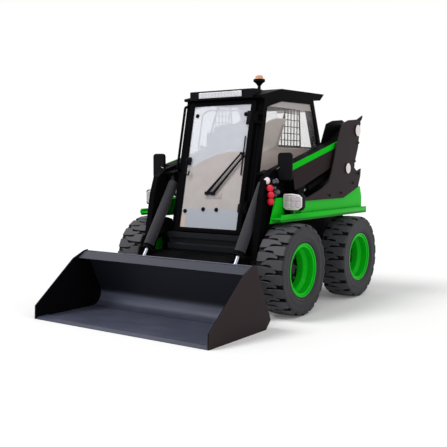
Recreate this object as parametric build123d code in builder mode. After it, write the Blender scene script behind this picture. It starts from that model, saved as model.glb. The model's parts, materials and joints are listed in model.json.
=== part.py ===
"""Electric skid steer loader with a low-profile bucket, modelled in millimetres.

Front is -Y, the machine's left is +X and up is +Z. The origin is on the ground, midway between the
bucket's lip and the tail door. Side profiles are drawn as (y, z) pairs, where y is measured from the
middle of the wheelbase. The planes side(), front() and top() add the offset from there to the origin.
"""

from build123d import *
import math
import os

os.makedirs("parts", exist_ok=True)

# ---------------------------------------------------------------- driving dimensions
seat_gap = 0.3          # clearance between pieces that rest against each other
running_gap = 0.08      # radial clearance of a pin in its bore
wheelbase = 1124
tyre_r = 386.5
tyre_width = 256
bead_r = 206            # tyre's seat on the rim
flange_r = 226          # rim flange
shaft_r = 30
lip_reach = 1925        # bucket lip, ahead of the middle of the wheelbase
tail_reach = 975        # grille of the tail door, behind it
mid_y = (lip_reach - tail_reach) / 2

arm_pivot = (745, 1598)         # boom pins in the towers
lift_base = (535, 1230)         # lift cylinder's pin in the tower
lift_eye = (-300, 1000)         # where the lift rod meets the boom
tilt_base = (-567, 1131)        # tilt cylinder's pin on the boom's knee
bucket_pin = (-1060, 150)
tilt_eye = (-1120, 290)         # where the tilt rod meets the coupler
pin_r = 20
boss_r = 50

frame_half = 530                # lower frame, beside the boom's legs
frame_front = -700
frame_rear = 900
deck_z = 800                    # top of the lower frame behind the footwell
footwell_z = 620
footwell_rear = -100
cab_half = 420
cab_wall = 30
# The machine's half width is built up outwards from the cab.
tilt_x = cab_half + 65                      # tilt cylinders, beside the cab
leg = (cab_half + 130, cab_half + 186)      # x of the boom's legs, between the cab and the tyres
beam = (leg[0] + 35, leg[1] + 99)           # x of its rear beams, inside the towers
tyre_inner_x = leg[1] + 18                  # inboard face of the tyre
lean = math.degrees(math.atan(0.2133))   # the door leans back
door_foot_y = -876.8            # where the door's plane meets the ground


def side(x):
    """Plane whose sketches hold (y, z) points, facing +X."""
    return Plane(origin=(x, mid_y, 0), x_dir=(0, 1, 0), z_dir=(1, 0, 0))


def front(y, z=0):
    """Plane whose sketches hold (x, z) points, facing forwards."""
    return Plane(origin=(0, mid_y + y, z), x_dir=(1, 0, 0), z_dir=(0, -1, 0))


def top(z):
    """Plane whose sketches hold (x, y) points, facing up."""
    return Plane(origin=(0, mid_y, z))


door_plane = Plane(
    origin=(0, mid_y + door_foot_y, 0),
    x_dir=(1, 0, 0),
    z_dir=(0, -math.cos(math.radians(lean)), math.sin(math.radians(lean))),
)


def along_door(z):
    """Distance up the leaning door plane at height z."""
    return z / math.cos(math.radians(lean))


def door_y(z):
    """Where the door plane is at height z, measured from the middle of the wheelbase."""
    return door_foot_y + z * math.tan(math.radians(lean))


def across_door(v):
    """Plane across the door at distance v up its slope: sketches hold (x, distance behind its face)."""
    return Plane(door_plane.from_local_coords(Vector(0, v, 0)), x_dir=(1, 0, 0), z_dir=door_plane.y_dir)


def save(name, piece):
    """Label a finished piece and write it to its own file."""
    piece.part.label = name
    export_step(piece.part, f"parts/{name}.step")


# ---------------------------------------------------------------- wheels
rim_width = 232
rim_inner_x = tyre_inner_x + (tyre_width - rim_width) / 2
rim_outer_x = rim_inner_x + rim_width
well_r = 182
rim_wall = 12
hub_face_x = rim_inner_x + 62   # the disc sits deep in the dish
hub_r = 84
cap_r = 46
# Rim section, half of the sheet that faces the tyre: x from the inboard flange, radius.
rim_sheet = [
    (0, flange_r), (10, flange_r), (12, bead_r), (34, bead_r), (54, well_r),
    (rim_width - 98, well_r), (rim_width - 68, bead_r), (rim_width - 12, bead_r),
    (rim_width - 10, flange_r), (rim_width, flange_r),
]
lug_count = 20          # along each shoulder
lug_depth = 26
lug_half = 40
lug_top = math.sqrt(tyre_r**2 - lug_half**2)   # flat over the lug, so its corners reach the tyre's radius
lug_turn = math.degrees(math.asin(lug_half / tyre_r))    # a lug's corner stands on the ground
half_tyre = tyre_width / 2
# Half of the carcass section: distance from the tyre's mid-plane, radius.
carcass = [
    (half_tyre - 24, bead_r + seat_gap), (half_tyre - 24, flange_r + 1), (half_tyre, 300),
    (half_tyre - 30, tyre_r - lug_depth),
]
# Outline of a lug seen from outside the tyre: distance in from the shoulder, distance round the tyre.
lug_outline = [(0, 1 - lug_half), (112, -lug_half), (204, -4), (92, 33), (0, lug_half)]


def on_facet(section):
    """Corners of a section on the edges of a polygon whose flats stand at its radii."""
    return [(x, r / math.cos(math.pi / lug_count)) for x, r in section]


# One sector of the carcass, its flats facing local X, and one lug of the shoulder at local +Z.
whole_section = carcass + [(-x, r) for x, r in reversed(carcass)]
with BuildPart() as sector:
    for turn in (-180 / lug_count, 180 / lug_count):
        with BuildSketch(Plane.XZ.rotated((0, 0, turn))):
            Polygon(*[(r, x) for x, r in on_facet(whole_section)], align=None)
    loft(ruled=True)
with BuildPart() as lug:
    with BuildSketch(Plane.YZ.offset(tyre_r - lug_depth - 12)):
        Polygon(*[(around, half_tyre - inset) for inset, around in lug_outline], align=None)
    extrude(amount=lug_depth + 12)
    with BuildSketch(Plane.XZ):
        Polygon((lug_top, -half_tyre), (lug_top, half_tyre - 26), (330, half_tyre - 16), (300, half_tyre - 10),
                (300, -half_tyre), align=None)
    extrude(amount=half_tyre, both=True, mode=Mode.INTERSECT)
# The other shoulder's lugs are mirrored and stand half a pitch on.
with BuildPart() as tread:
    with PolarLocations(0, lug_count):
        add(sector.part)
    with PolarLocations(0, lug_count):
        add(lug.part)
    with PolarLocations(0, lug_count, start_angle=180 / lug_count):
        add(mirror(lug.part, about=Plane.XY, mode=Mode.PRIVATE))


def wheel_axis(y):
    return Axis((0, mid_y + y, tyre_r), (1, 0, 0))


for name, axle_y, hand in (
    ("front_left", -wheelbase / 2, 1),
    ("front_right", -wheelbase / 2, -1),
    ("rear_left", wheelbase / 2, 1),
    ("rear_right", wheelbase / 2, -1),
):
    outside = [(hand * (rim_inner_x + x), r) for x, r in rim_sheet]
    inside = [(hand * (rim_inner_x + x), r - rim_wall) for x, r in rim_sheet]
    disc_x = hand * hub_face_x
    with BuildPart() as rim:
        with BuildSketch(front(axle_y, tyre_r)):
            with BuildLine():
                Polyline(*outside, *reversed(inside), close=True)
            make_face()
        with BuildSketch(front(axle_y, tyre_r)):
            with BuildLine():
                Polyline(
                    (disc_x, 0), (disc_x, well_r - rim_wall / 2), (disc_x + hand * 14, well_r - rim_wall / 2),
                    (disc_x + hand * 14, hub_r), (disc_x + hand * 30, hub_r - 12),
                    (disc_x + hand * 30, cap_r), (disc_x + hand * 52, cap_r - 8), (disc_x + hand * 52, 0),
                    close=True,
                )
            make_face()
        with BuildSketch(front(axle_y, tyre_r)):
            with BuildLine():
                Polyline(
                    (hand * 560, 0), (hand * 560, shaft_r), (disc_x - hand * 14, shaft_r),
                    (disc_x - hand * 14, hub_r), (disc_x, hub_r), (disc_x, 0), close=True,
                )
            make_face()
        revolve(axis=wheel_axis(axle_y))
    save(f"rim_{name}", rim)

    with BuildPart() as tyre:
        with Locations(Location((hand * (tyre_inner_x + half_tyre), mid_y + axle_y, tyre_r), (0, 90 * hand, 0))
                       * Location((0, 0, 0), (0, 0, lug_turn))):
            add(tread.part)
    save(f"tyre_{name}", tyre)

# ---------------------------------------------------------------- lower frame and axles
frame_profile = [
    (frame_front, 300), (frame_front + 90, 200), (frame_rear - 120, 200), (frame_rear, 320),
    (frame_rear, deck_z), (footwell_rear, deck_z), (footwell_rear, footwell_z), (frame_front, footwell_z),
]
frame_wall = 16
bay_half = 400
bay_front = 180
bay_floor = 200 + frame_wall
with BuildPart() as lower_frame:
    with BuildSketch(side(-frame_half)):
        Polygon(*frame_profile, align=None)
    extrude(amount=2 * frame_half)
    with BuildSketch(side(-frame_half + frame_wall)):
        Polygon(*frame_profile, align=None)
        offset(amount=-frame_wall)
    extrude(amount=2 * (frame_half - frame_wall), mode=Mode.SUBTRACT)
    with BuildSketch(front(frame_rear + 10)):
        with Locations((0, (340 + deck_z) / 2)):
            Rectangle(2 * bay_half, deck_z - 340 - 2 * frame_wall)
    extrude(amount=60, mode=Mode.SUBTRACT)
save("lower_frame", lower_frame)

with BuildPart() as battery_pack:
    with BuildSketch(top(bay_floor + seat_gap)):
        with Locations((0, (bay_front + frame_rear) / 2)):
            RectangleRounded(2 * bay_half - 60, frame_rear - bay_front - 260, 20)
    extrude(amount=deck_z - bay_floor - 80)
save("battery_pack", battery_pack)

housing_r = 72
housing_end = hub_face_x - 24
with BuildPart() as axle_housings:
    for axle_y in (-wheelbase / 2, wheelbase / 2):
        for hand in (1, -1):
            with BuildSketch(front(axle_y, tyre_r)):
                with BuildLine():
                    Polyline(
                        (hand * (frame_half + seat_gap), shaft_r + running_gap),
                        (hand * (frame_half + seat_gap), housing_r + 28),
                        (hand * (frame_half + 16), housing_r + 28), (hand * (frame_half + 16), housing_r),
                        (hand * housing_end, housing_r - 8), (hand * housing_end, shaft_r + running_gap),
                        close=True,
                    )
                make_face()
            revolve(axis=wheel_axis(axle_y))
save("axle_housings", axle_housings)

# ---------------------------------------------------------------- upper frame, green
wall_x = tyre_inner_x + 36      # fender wall
lip_x = wall_x + 100            # outer lip of the fender channel
base_inner_x = cab_half + 30
base_outer_x = lip_x - 45
base_front = -330
base_rear = 930
base_z = 950            # the towers stand on it
fender_front = -740
fender_rear = 950
fender_low = 790
fender_high = 850
plate = 12
wall_profile = [
    (fender_front - 10, 777), (-674, 985), (-560, 985), (-420, 935), (base_front, 935),
    (base_front, fender_low), (base_front, 777),
]
with BuildPart() as side_frames:
    for hand in (1, -1):
        with BuildSketch(side(hand * base_inner_x)):
            Polygon((base_front, deck_z + seat_gap), (base_front, base_z), (base_rear, base_z),
                    (base_rear, deck_z + seat_gap), align=None)
        extrude(amount=hand * (base_outer_x - base_inner_x))
        with BuildSketch(side(hand * (base_inner_x + plate))):
            Polygon((base_front + plate, deck_z + plate), (base_front + plate, base_z - plate),
                    (base_rear - plate, base_z - plate), (base_rear - plate, deck_z + plate), align=None)
        extrude(amount=hand * (base_outer_x - base_inner_x - 2 * plate), mode=Mode.SUBTRACT)
        with BuildSketch(side(hand * (base_outer_x - 60))):
            Polygon((330, base_z - 5), (330, base_z), (460, base_z), (790, 1045 - seat_gap),
                    (base_rear - 40, 1050), (base_rear, base_z - 5), align=None)
        extrude(amount=hand * 60)
        with BuildSketch(side(hand * (wall_x - plate))):
            Polygon(*wall_profile, align=None)
        extrude(amount=hand * plate)
        with BuildSketch(side(hand * (wall_x - plate))):
            Polygon((fender_front, fender_low + 22), (fender_rear, fender_low + 22), (fender_rear, fender_low + 34),
                    (fender_front, fender_low + 34), align=None)
        extrude(amount=hand * (lip_x - wall_x + plate))
        with BuildSketch(side(hand * (lip_x - plate))):
            Polygon((fender_front, fender_low + 8), (fender_front + 8, fender_low), (fender_rear, fender_low),
                    (fender_rear, fender_high), (fender_front, fender_high), align=None)
        extrude(amount=hand * plate)
        for y in (-40, 420, 880):
            with BuildSketch(side(hand * (base_outer_x - 5))):
                Polygon((y, fender_low + 30), (y + 12, fender_low + 30), (y + 12, fender_high),
                        (y, fender_high), align=None)
            extrude(amount=hand * (lip_x - base_outer_x))
save("side_frames", side_frames)

# ---------------------------------------------------------------- towers
tower_outer_x = lip_x - 20
tower_inner_x = beam[0] - 25
tower_profile = [
    (-320, 967), (-250, base_z + seat_gap), (460, base_z + seat_gap), (790, 1045), (840, 1153), (850, 1227), (752, 1203),
    (695, 1236), (700, 1281), (775, 1438), (822, 1685), (755, 1706), (558, 1689), (422, 1652),
    (292, 1418), (197, 1196), (137, 1105), (0, 1045), (-190, 998),
]
with BuildPart() as towers:
    for hand in (1, -1):
        for x in (tower_inner_x, tower_outer_x - plate):
            with BuildSketch(side(hand * x)):
                Polygon(*tower_profile, align=None)
            extrude(amount=hand * plate)
        for pin, radius in ((arm_pivot, 30), (lift_base, 25)):
            with BuildSketch(side(hand * (tower_inner_x - 8))):
                with Locations(pin):
                    Circle(radius)
            extrude(amount=hand * (tower_outer_x - tower_inner_x + 16))
            with BuildSketch(side(hand * tower_outer_x)):
                with Locations(pin):
                    Circle(radius + 24)
            extrude(amount=hand * 10)
        with BuildSketch(side(hand * tower_inner_x)):
            Polygon((688, 1281), (763, 1438), (775, 1438), (700, 1281), align=None)
        extrude(amount=hand * (tower_outer_x - tower_inner_x))
        with BuildSketch(side(hand * tower_inner_x)):
            Polygon((-250, base_z + seat_gap), (460, base_z + seat_gap), (790, 1045), (786, 1057),
                    (457, base_z + plate), (-250, base_z + plate), align=None)
        extrude(amount=hand * (tower_outer_x - tower_inner_x))
        # Fin at the top, outboard of the raised beam.
        with BuildSketch(side(hand * (beam[1] + 7))):
            Polygon((740, 1690), (905, 1752), (893, 1718), (822, 1670), align=None)
        extrude(amount=hand * plate)
        with BuildSketch(side(hand * (beam[1] + 7))):
            Polygon((735, 1672), (825, 1660), (823, 1684), (755, 1706), (735, 1702), align=None)
        extrude(amount=hand * (tower_outer_x - beam[1] - 7))
save("towers", towers)

# ---------------------------------------------------------------- tail
hood_profile = [
    (640, deck_z + seat_gap), (640, 1135), (700, 1150), (880, 1110), (930, 1060), (930, deck_z + seat_gap),
]
with BuildPart() as rear_hood:
    with BuildSketch(side(-base_inner_x + 4)):
        Polygon(*hood_profile, align=None)
    extrude(amount=2 * (base_inner_x - 4))
    with BuildSketch(side(-base_inner_x + 4 + plate)):
        Polygon(*hood_profile, align=None)
        offset(amount=-plate)
        Polygon((640 + plate, deck_z - 5), (640 + plate, deck_z + 40), (930 - plate, deck_z + 40),
                (930 - plate, deck_z - 5), align=None)
    extrude(amount=2 * (base_inner_x - 4 - plate), mode=Mode.SUBTRACT)
save("rear_hood", rear_hood)

tail_hinge_x = -480
tail_hinge_y = 962
tail_low = 330
tail_high = 1050
tail_knuckle_len = 56
tail_knuckles = (460, base_z + 28 + 2 * seat_gap)    # the upper hinge stands on the side frame
with BuildPart() as rear_door:
    with BuildSketch(front(935)):
        with Locations((0, (tail_low + tail_high) / 2)):
            RectangleRounded(900, tail_high - tail_low, 30)
    extrude(amount=-25)
    with BuildSketch(front(935)):
        with Locations((0, 690)):
            with GridLocations(0, 44, 1, 10):
                Rectangle(620, 22)
    extrude(amount=-25, mode=Mode.SUBTRACT)
    with BuildSketch(front(960)):
        with Locations((0, 690)):
            with GridLocations(210, 0, 3, 1):
                Rectangle(20, 480)
    extrude(amount=-(tail_reach - 960))
    for z in tail_knuckles:
        with BuildSketch(top(z)):
            with Locations((tail_hinge_x, tail_hinge_y)):
                Circle(13)
            with BuildLine():
                Polyline((tail_hinge_x, tail_hinge_y - 13), (tail_hinge_x, tail_hinge_y - 2),
                         (-440, 955), (-440, 940), close=True)
            make_face()
            with Locations((tail_hinge_x, tail_hinge_y)):
                Circle(7 + running_gap, mode=Mode.SUBTRACT)
        extrude(amount=tail_knuckle_len)
save("rear_door", rear_door)

with BuildPart() as rear_frame:
    with BuildSketch(front(frame_rear + seat_gap)):
        Polygon((-500, 330), (-500, deck_z - seat_gap), (-400, deck_z - seat_gap), (-400, 330), align=None)
        Polygon((500, 330), (500, deck_z - seat_gap), (400, deck_z - seat_gap), (400, 330), align=None)
        Polygon((-500, 290), (500, 290), (500, 332), (-500, 332), align=None)
    extrude(amount=-32)
    for z in tail_knuckles:
        for low in (z - 28 - seat_gap, z + tail_knuckle_len + seat_gap):
            with BuildSketch(top(low)):
                with Locations((tail_hinge_x, tail_hinge_y)):
                    Circle(13)
                Polygon((tail_hinge_x - 13, frame_rear + 10), (tail_hinge_x + 11, frame_rear + 10),
                        (tail_hinge_x + 11, tail_hinge_y), (tail_hinge_x - 13, tail_hinge_y), align=None)
            extrude(amount=28)
        with BuildSketch(top(z - 28 - seat_gap)):
            with Locations((tail_hinge_x, tail_hinge_y)):
                Circle(7)
            with Locations((tail_hinge_x, frame_rear + 20)):
                Rectangle(24, 20)
        extrude(amount=tail_knuckle_len + 56 + 2 * seat_gap)
save("rear_frame", rear_frame)

# ---------------------------------------------------------------- cab
roof_low = [(-171, 1875), (572, 1890)]
roof_high = [(656, 1956), (-173, 1939), (-513, 1861), (-513, 1838), (-462, 1836), (-470, 1803)]
pillar_back = 28        # the pillars stand behind the door plane
side_profile = [
    (door_y(footwell_z) + pillar_back, footwell_z + seat_gap),
    (door_y(1804) + pillar_back, 1804), (-171, 1875 - seat_gap), (432, 1887 - seat_gap),
    (612, 1430), (630, 1200), (630, deck_z + seat_gap), (footwell_rear, deck_z + seat_gap),
    (footwell_rear, footwell_z + seat_gap),
]
window_profile = [
    (door_y(1020) + 86, 1020), (door_y(1765) + 80, 1765), (-165, 1828), (390, 1840), (550, 1430), (562, 1130),
]
hinge_x = cab_half - 42
hinge_out = 6           # the hinge line stands out from the door plane
hinge_heights = (1640, 870)
knuckle_len = 56
with BuildPart() as cab_sides:
    for x in (cab_half - cab_wall, -cab_half):
        with BuildSketch(side(x)):
            Polygon(*side_profile, align=None)
            Polygon(*window_profile, align=None, mode=Mode.SUBTRACT)
        extrude(amount=cab_wall)
    for z in hinge_heights:
        v = along_door(z)
        for low in (v - 22 - seat_gap, v + knuckle_len + seat_gap):
            with BuildSketch(across_door(low)):
                Polygon((hinge_x - 11, -hinge_out - 11), (hinge_x + 11, -hinge_out - 11),
                        (cab_half, pillar_back - 6), (cab_half, pillar_back + 8),
                        (cab_half - 20, pillar_back + 8), (hinge_x - 11, -hinge_out + 13), align=None)
            extrude(amount=22)
        with BuildSketch(across_door(v - 22)):
            with Locations((hinge_x, -hinge_out)):
                Circle(6)
        extrude(amount=knuckle_len + 44)
save("cab_sides", cab_sides)

inner_half = cab_half - cab_wall - seat_gap
rear_line = [(430, 1886), (610, 1430), (628, 1200), (628, deck_z + seat_gap)]
rear_wall = 30
rear_window_half = 325
rear_window = (1290, 1800)
with BuildPart() as cab_rear:
    with BuildSketch(side(-inner_half)):
        Polygon(*rear_line, *[(y - rear_wall, z) for y, z in reversed(rear_line)], align=None)
    extrude(amount=2 * inner_half)
    with BuildSketch(front(700)):
        with Locations((0, sum(rear_window) / 2)):
            RectangleRounded(2 * rear_window_half, rear_window[1] - rear_window[0], 30)
    extrude(amount=400, mode=Mode.SUBTRACT)
save("cab_rear", cab_rear)

with BuildPart() as cab_glass:
    with BuildSketch(side(-inner_half)):
        Polygon(*[(y - 12, z) for y, z in rear_line[:3]], *[(y - 18, z) for y, z in reversed(rear_line[:3])],
                align=None)
    extrude(amount=2 * inner_half)
    with BuildSketch(front(700)):
        with Locations((0, sum(rear_window) / 2)):
            RectangleRounded(2 * (rear_window_half - seat_gap), rear_window[1] - rear_window[0] - 2 * seat_gap,
                             30 - seat_gap)
    extrude(amount=400, mode=Mode.INTERSECT)
    for x in (cab_half - cab_wall / 2 - 3, -cab_half + cab_wall / 2 - 3):
        with BuildSketch(side(x)):
            Polygon(*window_profile, align=None)
            offset(amount=-seat_gap)
        extrude(amount=6)
save("cab_glass", cab_glass)

with BuildPart() as cab_roof:
    with BuildSketch(side(-cab_half)):
        Polygon(*roof_low, *roof_high, align=None)
    extrude(amount=2 * cab_half)
    # Hollow from below, inside the rim that stands on the cab's sides.
    with BuildSketch(side(-cab_half + cab_wall + 4)):
        Polygon((-440, 1780), (-440, 1862), (-173, 1925), (560, 1941), (560, 1860), align=None)
    extrude(amount=2 * (cab_half - cab_wall - 4), mode=Mode.SUBTRACT)
save("cab_roof", cab_roof)

with BuildPart() as cab_floor:
    with BuildSketch(side(-inner_half)):
        Polygon((door_y(footwell_z) + 32, footwell_z + seat_gap), (footwell_rear - seat_gap, footwell_z + seat_gap),
                (footwell_rear - seat_gap, deck_z + seat_gap), (590, deck_z + seat_gap), (590, deck_z + 20),
                (footwell_rear - 20, deck_z + 20), (footwell_rear - 20, footwell_z + 20),
                (door_y(footwell_z) + 32, footwell_z + 20), align=None)
    extrude(amount=2 * inner_half)
save("cab_floor", cab_floor)

# Ledges below the door, from the lower frame's top down.
with BuildPart() as front_panel:
    with BuildSketch(side(-cab_half)):
        Polygon((frame_front - seat_gap, footwell_z), (-719, footwell_z), (-719, 659), (-762, 659), (-762, 612),
                (-738, 604), (-738, 560), (-762, 552), (-762, 508), (-738, 500), (-738, 420),
                (frame_front - seat_gap, 360), align=None)
    extrude(amount=2 * cab_half)
save("front_panel", front_panel)

guard_x = inner_half    # the mesh lies against the inside of the cab's wall
guard_bar = 7
guard_corners = [(-215, 1425), (-8, 1858), (211, 1858), (250, 1425)]
guard_rail = (-290, 570)        # the rail along the mesh's foot reaches the rear pillar
with BuildPart() as side_guards:
    for x in (guard_x - guard_bar, -guard_x):
        with BuildSketch(side(x)) as guard_sketch:
            Polygon(*guard_corners, align=None)
            with BuildSketch(mode=Mode.SUBTRACT):
                Polygon(*guard_corners, align=None)
                offset(amount=-16)
            with BuildSketch(mode=Mode.ADD):
                with Locations((0, 1612)):
                    with GridLocations(58, 0, 9, 1):
                        Rectangle(guard_bar, 500)
                    with GridLocations(0, 62, 1, 7):
                        Rectangle(500, guard_bar)
                Polygon(*guard_corners, align=None, mode=Mode.INTERSECT)
            with Locations((sum(guard_rail) / 2, 1425)):
                Rectangle(guard_rail[1] - guard_rail[0], 16)
            with Locations((guard_rail[0], 1425)):
                Circle(20)
        extrude(amount=guard_bar)
save("side_guards", side_guards)

# ---------------------------------------------------------------- inside the cab
floor_top = deck_z + 20
seat_base_h = 150
seat_z = floor_top + seat_base_h + 2 * seat_gap
with BuildPart() as seat_base:
    with BuildSketch(top(floor_top + seat_gap)):
        with Locations((0, 150)):
            RectangleRounded(400, 420, 30)
    extrude(amount=seat_base_h)
save("seat_base", seat_base)

with BuildPart() as seat:
    with BuildSketch(side(-230)):
        Polygon((-110, seat_z), (350, seat_z), (430, 1250), (465, 1560), (440, 1600), (390, 1600), (355, 1300),
                (300, 1085), (-80, 1095), (-120, 1060), align=None)
    extrude(amount=460)
    fillet(seat.edges().filter_by(Axis.X), 12)
save("seat", seat)

with BuildPart() as consoles:
    for hand in (1, -1):
        with BuildSketch(top(floor_top + seat_gap)):
            with Locations((hand * 300, 60)):
                RectangleRounded(90, 520, 20)
        extrude(amount=290)
        with BuildSketch(top(deck_z + 300)):
            with Locations((hand * 300, -140)):
                Circle(9)
        extrude(amount=130)
        with BuildSketch(top(deck_z + 425)):
            with Locations((hand * 300, -140)):
                Circle(22)
        extrude(amount=90, taper=8)
save("consoles", consoles)

# ---------------------------------------------------------------- on the roof and the pillars
bar_half = cab_half - 84
with BuildPart() as light_bar:
    with BuildSketch(side(-bar_half)):
        Polygon((-513.5, 1840), (-528, 1840), (-534, 1846), (-534, 1912), (-527, 1919), (-420, 1925),
                (-400, 1888), (-513.5, 1862), align=None)
    extrude(amount=2 * bar_half)
    with BuildSketch(front(-528)):
        with Locations((0, 1880)):
            RectangleRounded(460, 50, 6)
    extrude(amount=14)
save("light_bar", light_bar)

beacon_x = 166
beacon_y = -150
beacon_z = 1939
with BuildPart() as beacon:
    with BuildSketch(Plane(origin=(beacon_x, mid_y + beacon_y, 0), x_dir=(1, 0, 0), z_dir=(0, -1, 0))):
        with BuildLine():
            Polyline((0, beacon_z + seat_gap + 1), (38, beacon_z + seat_gap + 1), (38, beacon_z + 8),
                     (20, beacon_z + 12), (24, beacon_z + 60), (54, beacon_z + 84), (54, beacon_z + 96),
                     (46, beacon_z + 98), (44, beacon_z + 122), (34, beacon_z + 138), (0, beacon_z + 141),
                     close=True)
        make_face()
    revolve(axis=Axis((beacon_x, mid_y + beacon_y, 0), (0, 0, 1)))
save("beacon", beacon)

rail_x = -cab_half
rail_out = 46
pillar_depth = pillar_back * math.cos(math.radians(lean))
with BuildPart() as handrail:
    low, high = along_door(1215), along_door(1790)
    with BuildLine(Plane(door_plane.from_local_coords(Vector(rail_x + 14, 0, 0)),
                         x_dir=door_plane.y_dir, z_dir=(1, 0, 0))):
        FilletPolyline((low, seat_gap - pillar_depth), (low, rail_out - pillar_depth),
                       (high, rail_out - pillar_depth), (high, seat_gap - pillar_depth), radius=24)
    with BuildSketch(Plane(door_plane.from_local_coords(Vector(rail_x + 14, low, seat_gap - pillar_depth)),
                           x_dir=(1, 0, 0), z_dir=door_plane.z_dir)):
        Circle(12)
    sweep()
save("handrail", handrail)

lamp_at = (lip_x - 5, -513, 952)
with BuildPart() as headlamps:
    for hand in (1, -1):
        with BuildSketch(front(lamp_at[1] - 45)):
            with Locations((hand * lamp_at[0], lamp_at[2])):
                RectangleRounded(184, 142, 28)
        extrude(amount=-40)
        with BuildSketch(front(lamp_at[1] - 5)):
            with Locations((hand * lamp_at[0], lamp_at[2])):
                RectangleRounded(184, 142, 28)
        extrude(amount=-50, taper=22)
        with BuildSketch(side(hand * (wall_x + seat_gap))):
            Polygon((lamp_at[1] - 20, fender_low + 34 + seat_gap), (lamp_at[1] + 30, fender_low + 34 + seat_gap),
                    (lamp_at[1] + 30, 930), (lamp_at[1] - 20, 930), align=None)
        extrude(amount=hand * 60)
save("headlamps", headlamps)

with BuildPart() as tail_lamps:
    for hand in (1, -1):
        with BuildSketch(front(base_rear + seat_gap)):
            with Locations((hand * 600, 905)):
                RectangleRounded(150, 44, 10)
        extrude(amount=-30)
save("tail_lamps", tail_lamps)

eye_r = 22
eye_wall = 13
eye_plate = 20
eye_front = (frame_half - 50, -742, 345)    # a flat lug, its eye upright
eye_rear = (frame_half - 22, 936, 600)      # a standing lug, its eye across the machine
with BuildPart() as tie_downs:
    for hand in (1, -1):
        x, y, z = eye_front
        with BuildSketch(top(z - eye_plate / 2)):
            with Locations((hand * x, y)):
                Circle(eye_r + eye_wall)
            with Locations((hand * x, (y + frame_front - seat_gap) / 2)):
                Rectangle(2 * (eye_r + eye_wall), frame_front - seat_gap - y)
            with Locations((hand * x, y)):
                Circle(eye_r, mode=Mode.SUBTRACT)
        extrude(amount=eye_plate)
        x, y, z = eye_rear
        with BuildSketch(side(hand * x)):
            with Locations((y, z)):
                Circle(eye_r + eye_wall)
            with Locations(((y + frame_rear + seat_gap) / 2, z)):
                Rectangle(y - frame_rear - seat_gap, 2 * (eye_r + eye_wall))
            with Locations((y, z)):
                Circle(eye_r, mode=Mode.SUBTRACT)
        extrude(amount=hand * eye_plate)
save("tie_downs", tie_downs)

# ---------------------------------------------------------------- door
door_half = cab_half - 65
glass_half = door_half - 40
door_low = along_door(668)
door_high = along_door(1820)
glass_low = along_door(692)
glass_high = along_door(1795)
glass_centre = (glass_low + glass_high) / 2
with BuildPart() as door_frame:
    with BuildSketch(door_plane.offset(-13)):
        with Locations((0, (door_low + door_high) / 2)):
            RectangleRounded(2 * door_half, door_high - door_low, 24)
        with Locations((0, glass_centre)):
            RectangleRounded(2 * glass_half, glass_high - glass_low, 18, mode=Mode.SUBTRACT)
    extrude(amount=25)
    for z in hinge_heights:
        with BuildSketch(across_door(along_door(z))):
            Polygon((door_half - 30, -12), (hinge_x, -hinge_out - 12), (hinge_x, -hinge_out + 4),
                    (door_half - 30, -4), align=None)
            with Locations((hinge_x, -hinge_out)):
                Circle(12)
                Circle(6 + running_gap, mode=Mode.SUBTRACT)
        extrude(amount=knuckle_len)
save("door_frame", door_frame)

with BuildPart() as door_glass:
    with BuildSketch(door_plane.offset(-3)):
        with Locations((0, glass_centre)):
            RectangleRounded(2 * (glass_half - seat_gap), glass_high - glass_low - 2 * seat_gap, 18)
    extrude(amount=6)
save("door_glass", door_glass)

with BuildPart() as wiper:
    with BuildSketch(door_plane.offset(3 + seat_gap)):
        with Locations((-8, along_door(1006))):
            RectangleRounded(110, 40, 10)
    extrude(amount=18)
    for foot, head in (((-40, 1006), (268, 1352)), ((20, 1006), (296, 1330))):
        a = Vector(foot[0], along_door(foot[1]))
        b = Vector(head[0], along_door(head[1]))
        with BuildSketch(door_plane.offset(14)):
            with Locations(Location((a + b) * 0.5, (0, 0, math.degrees(math.atan2((b - a).Y, (b - a).X))))):
                SlotOverall((b - a).length + 14, 12)
        extrude(amount=9)
    with BuildSketch(door_plane.offset(5)):
        with Locations((288, along_door(1338))):
            Rectangle(12, 340)
    extrude(amount=16)
save("wiper", wiper)

with BuildPart() as door_handle:
    with BuildSketch(door_plane.offset(3 + seat_gap)):
        with Locations((-286, along_door(1290))):
            RectangleRounded(44, 70, 12)
    extrude(amount=20)
    with BuildSketch(door_plane.offset(16)):
        with BuildLine():
            FilletPolyline((-300, along_door(1300)), (-300, along_door(1165)), (-262, along_door(1165)),
                           (-255, along_door(1195)), radius=12)
        trace(line_width=13)
    extrude(amount=14)
save("door_handle", door_handle)

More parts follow.
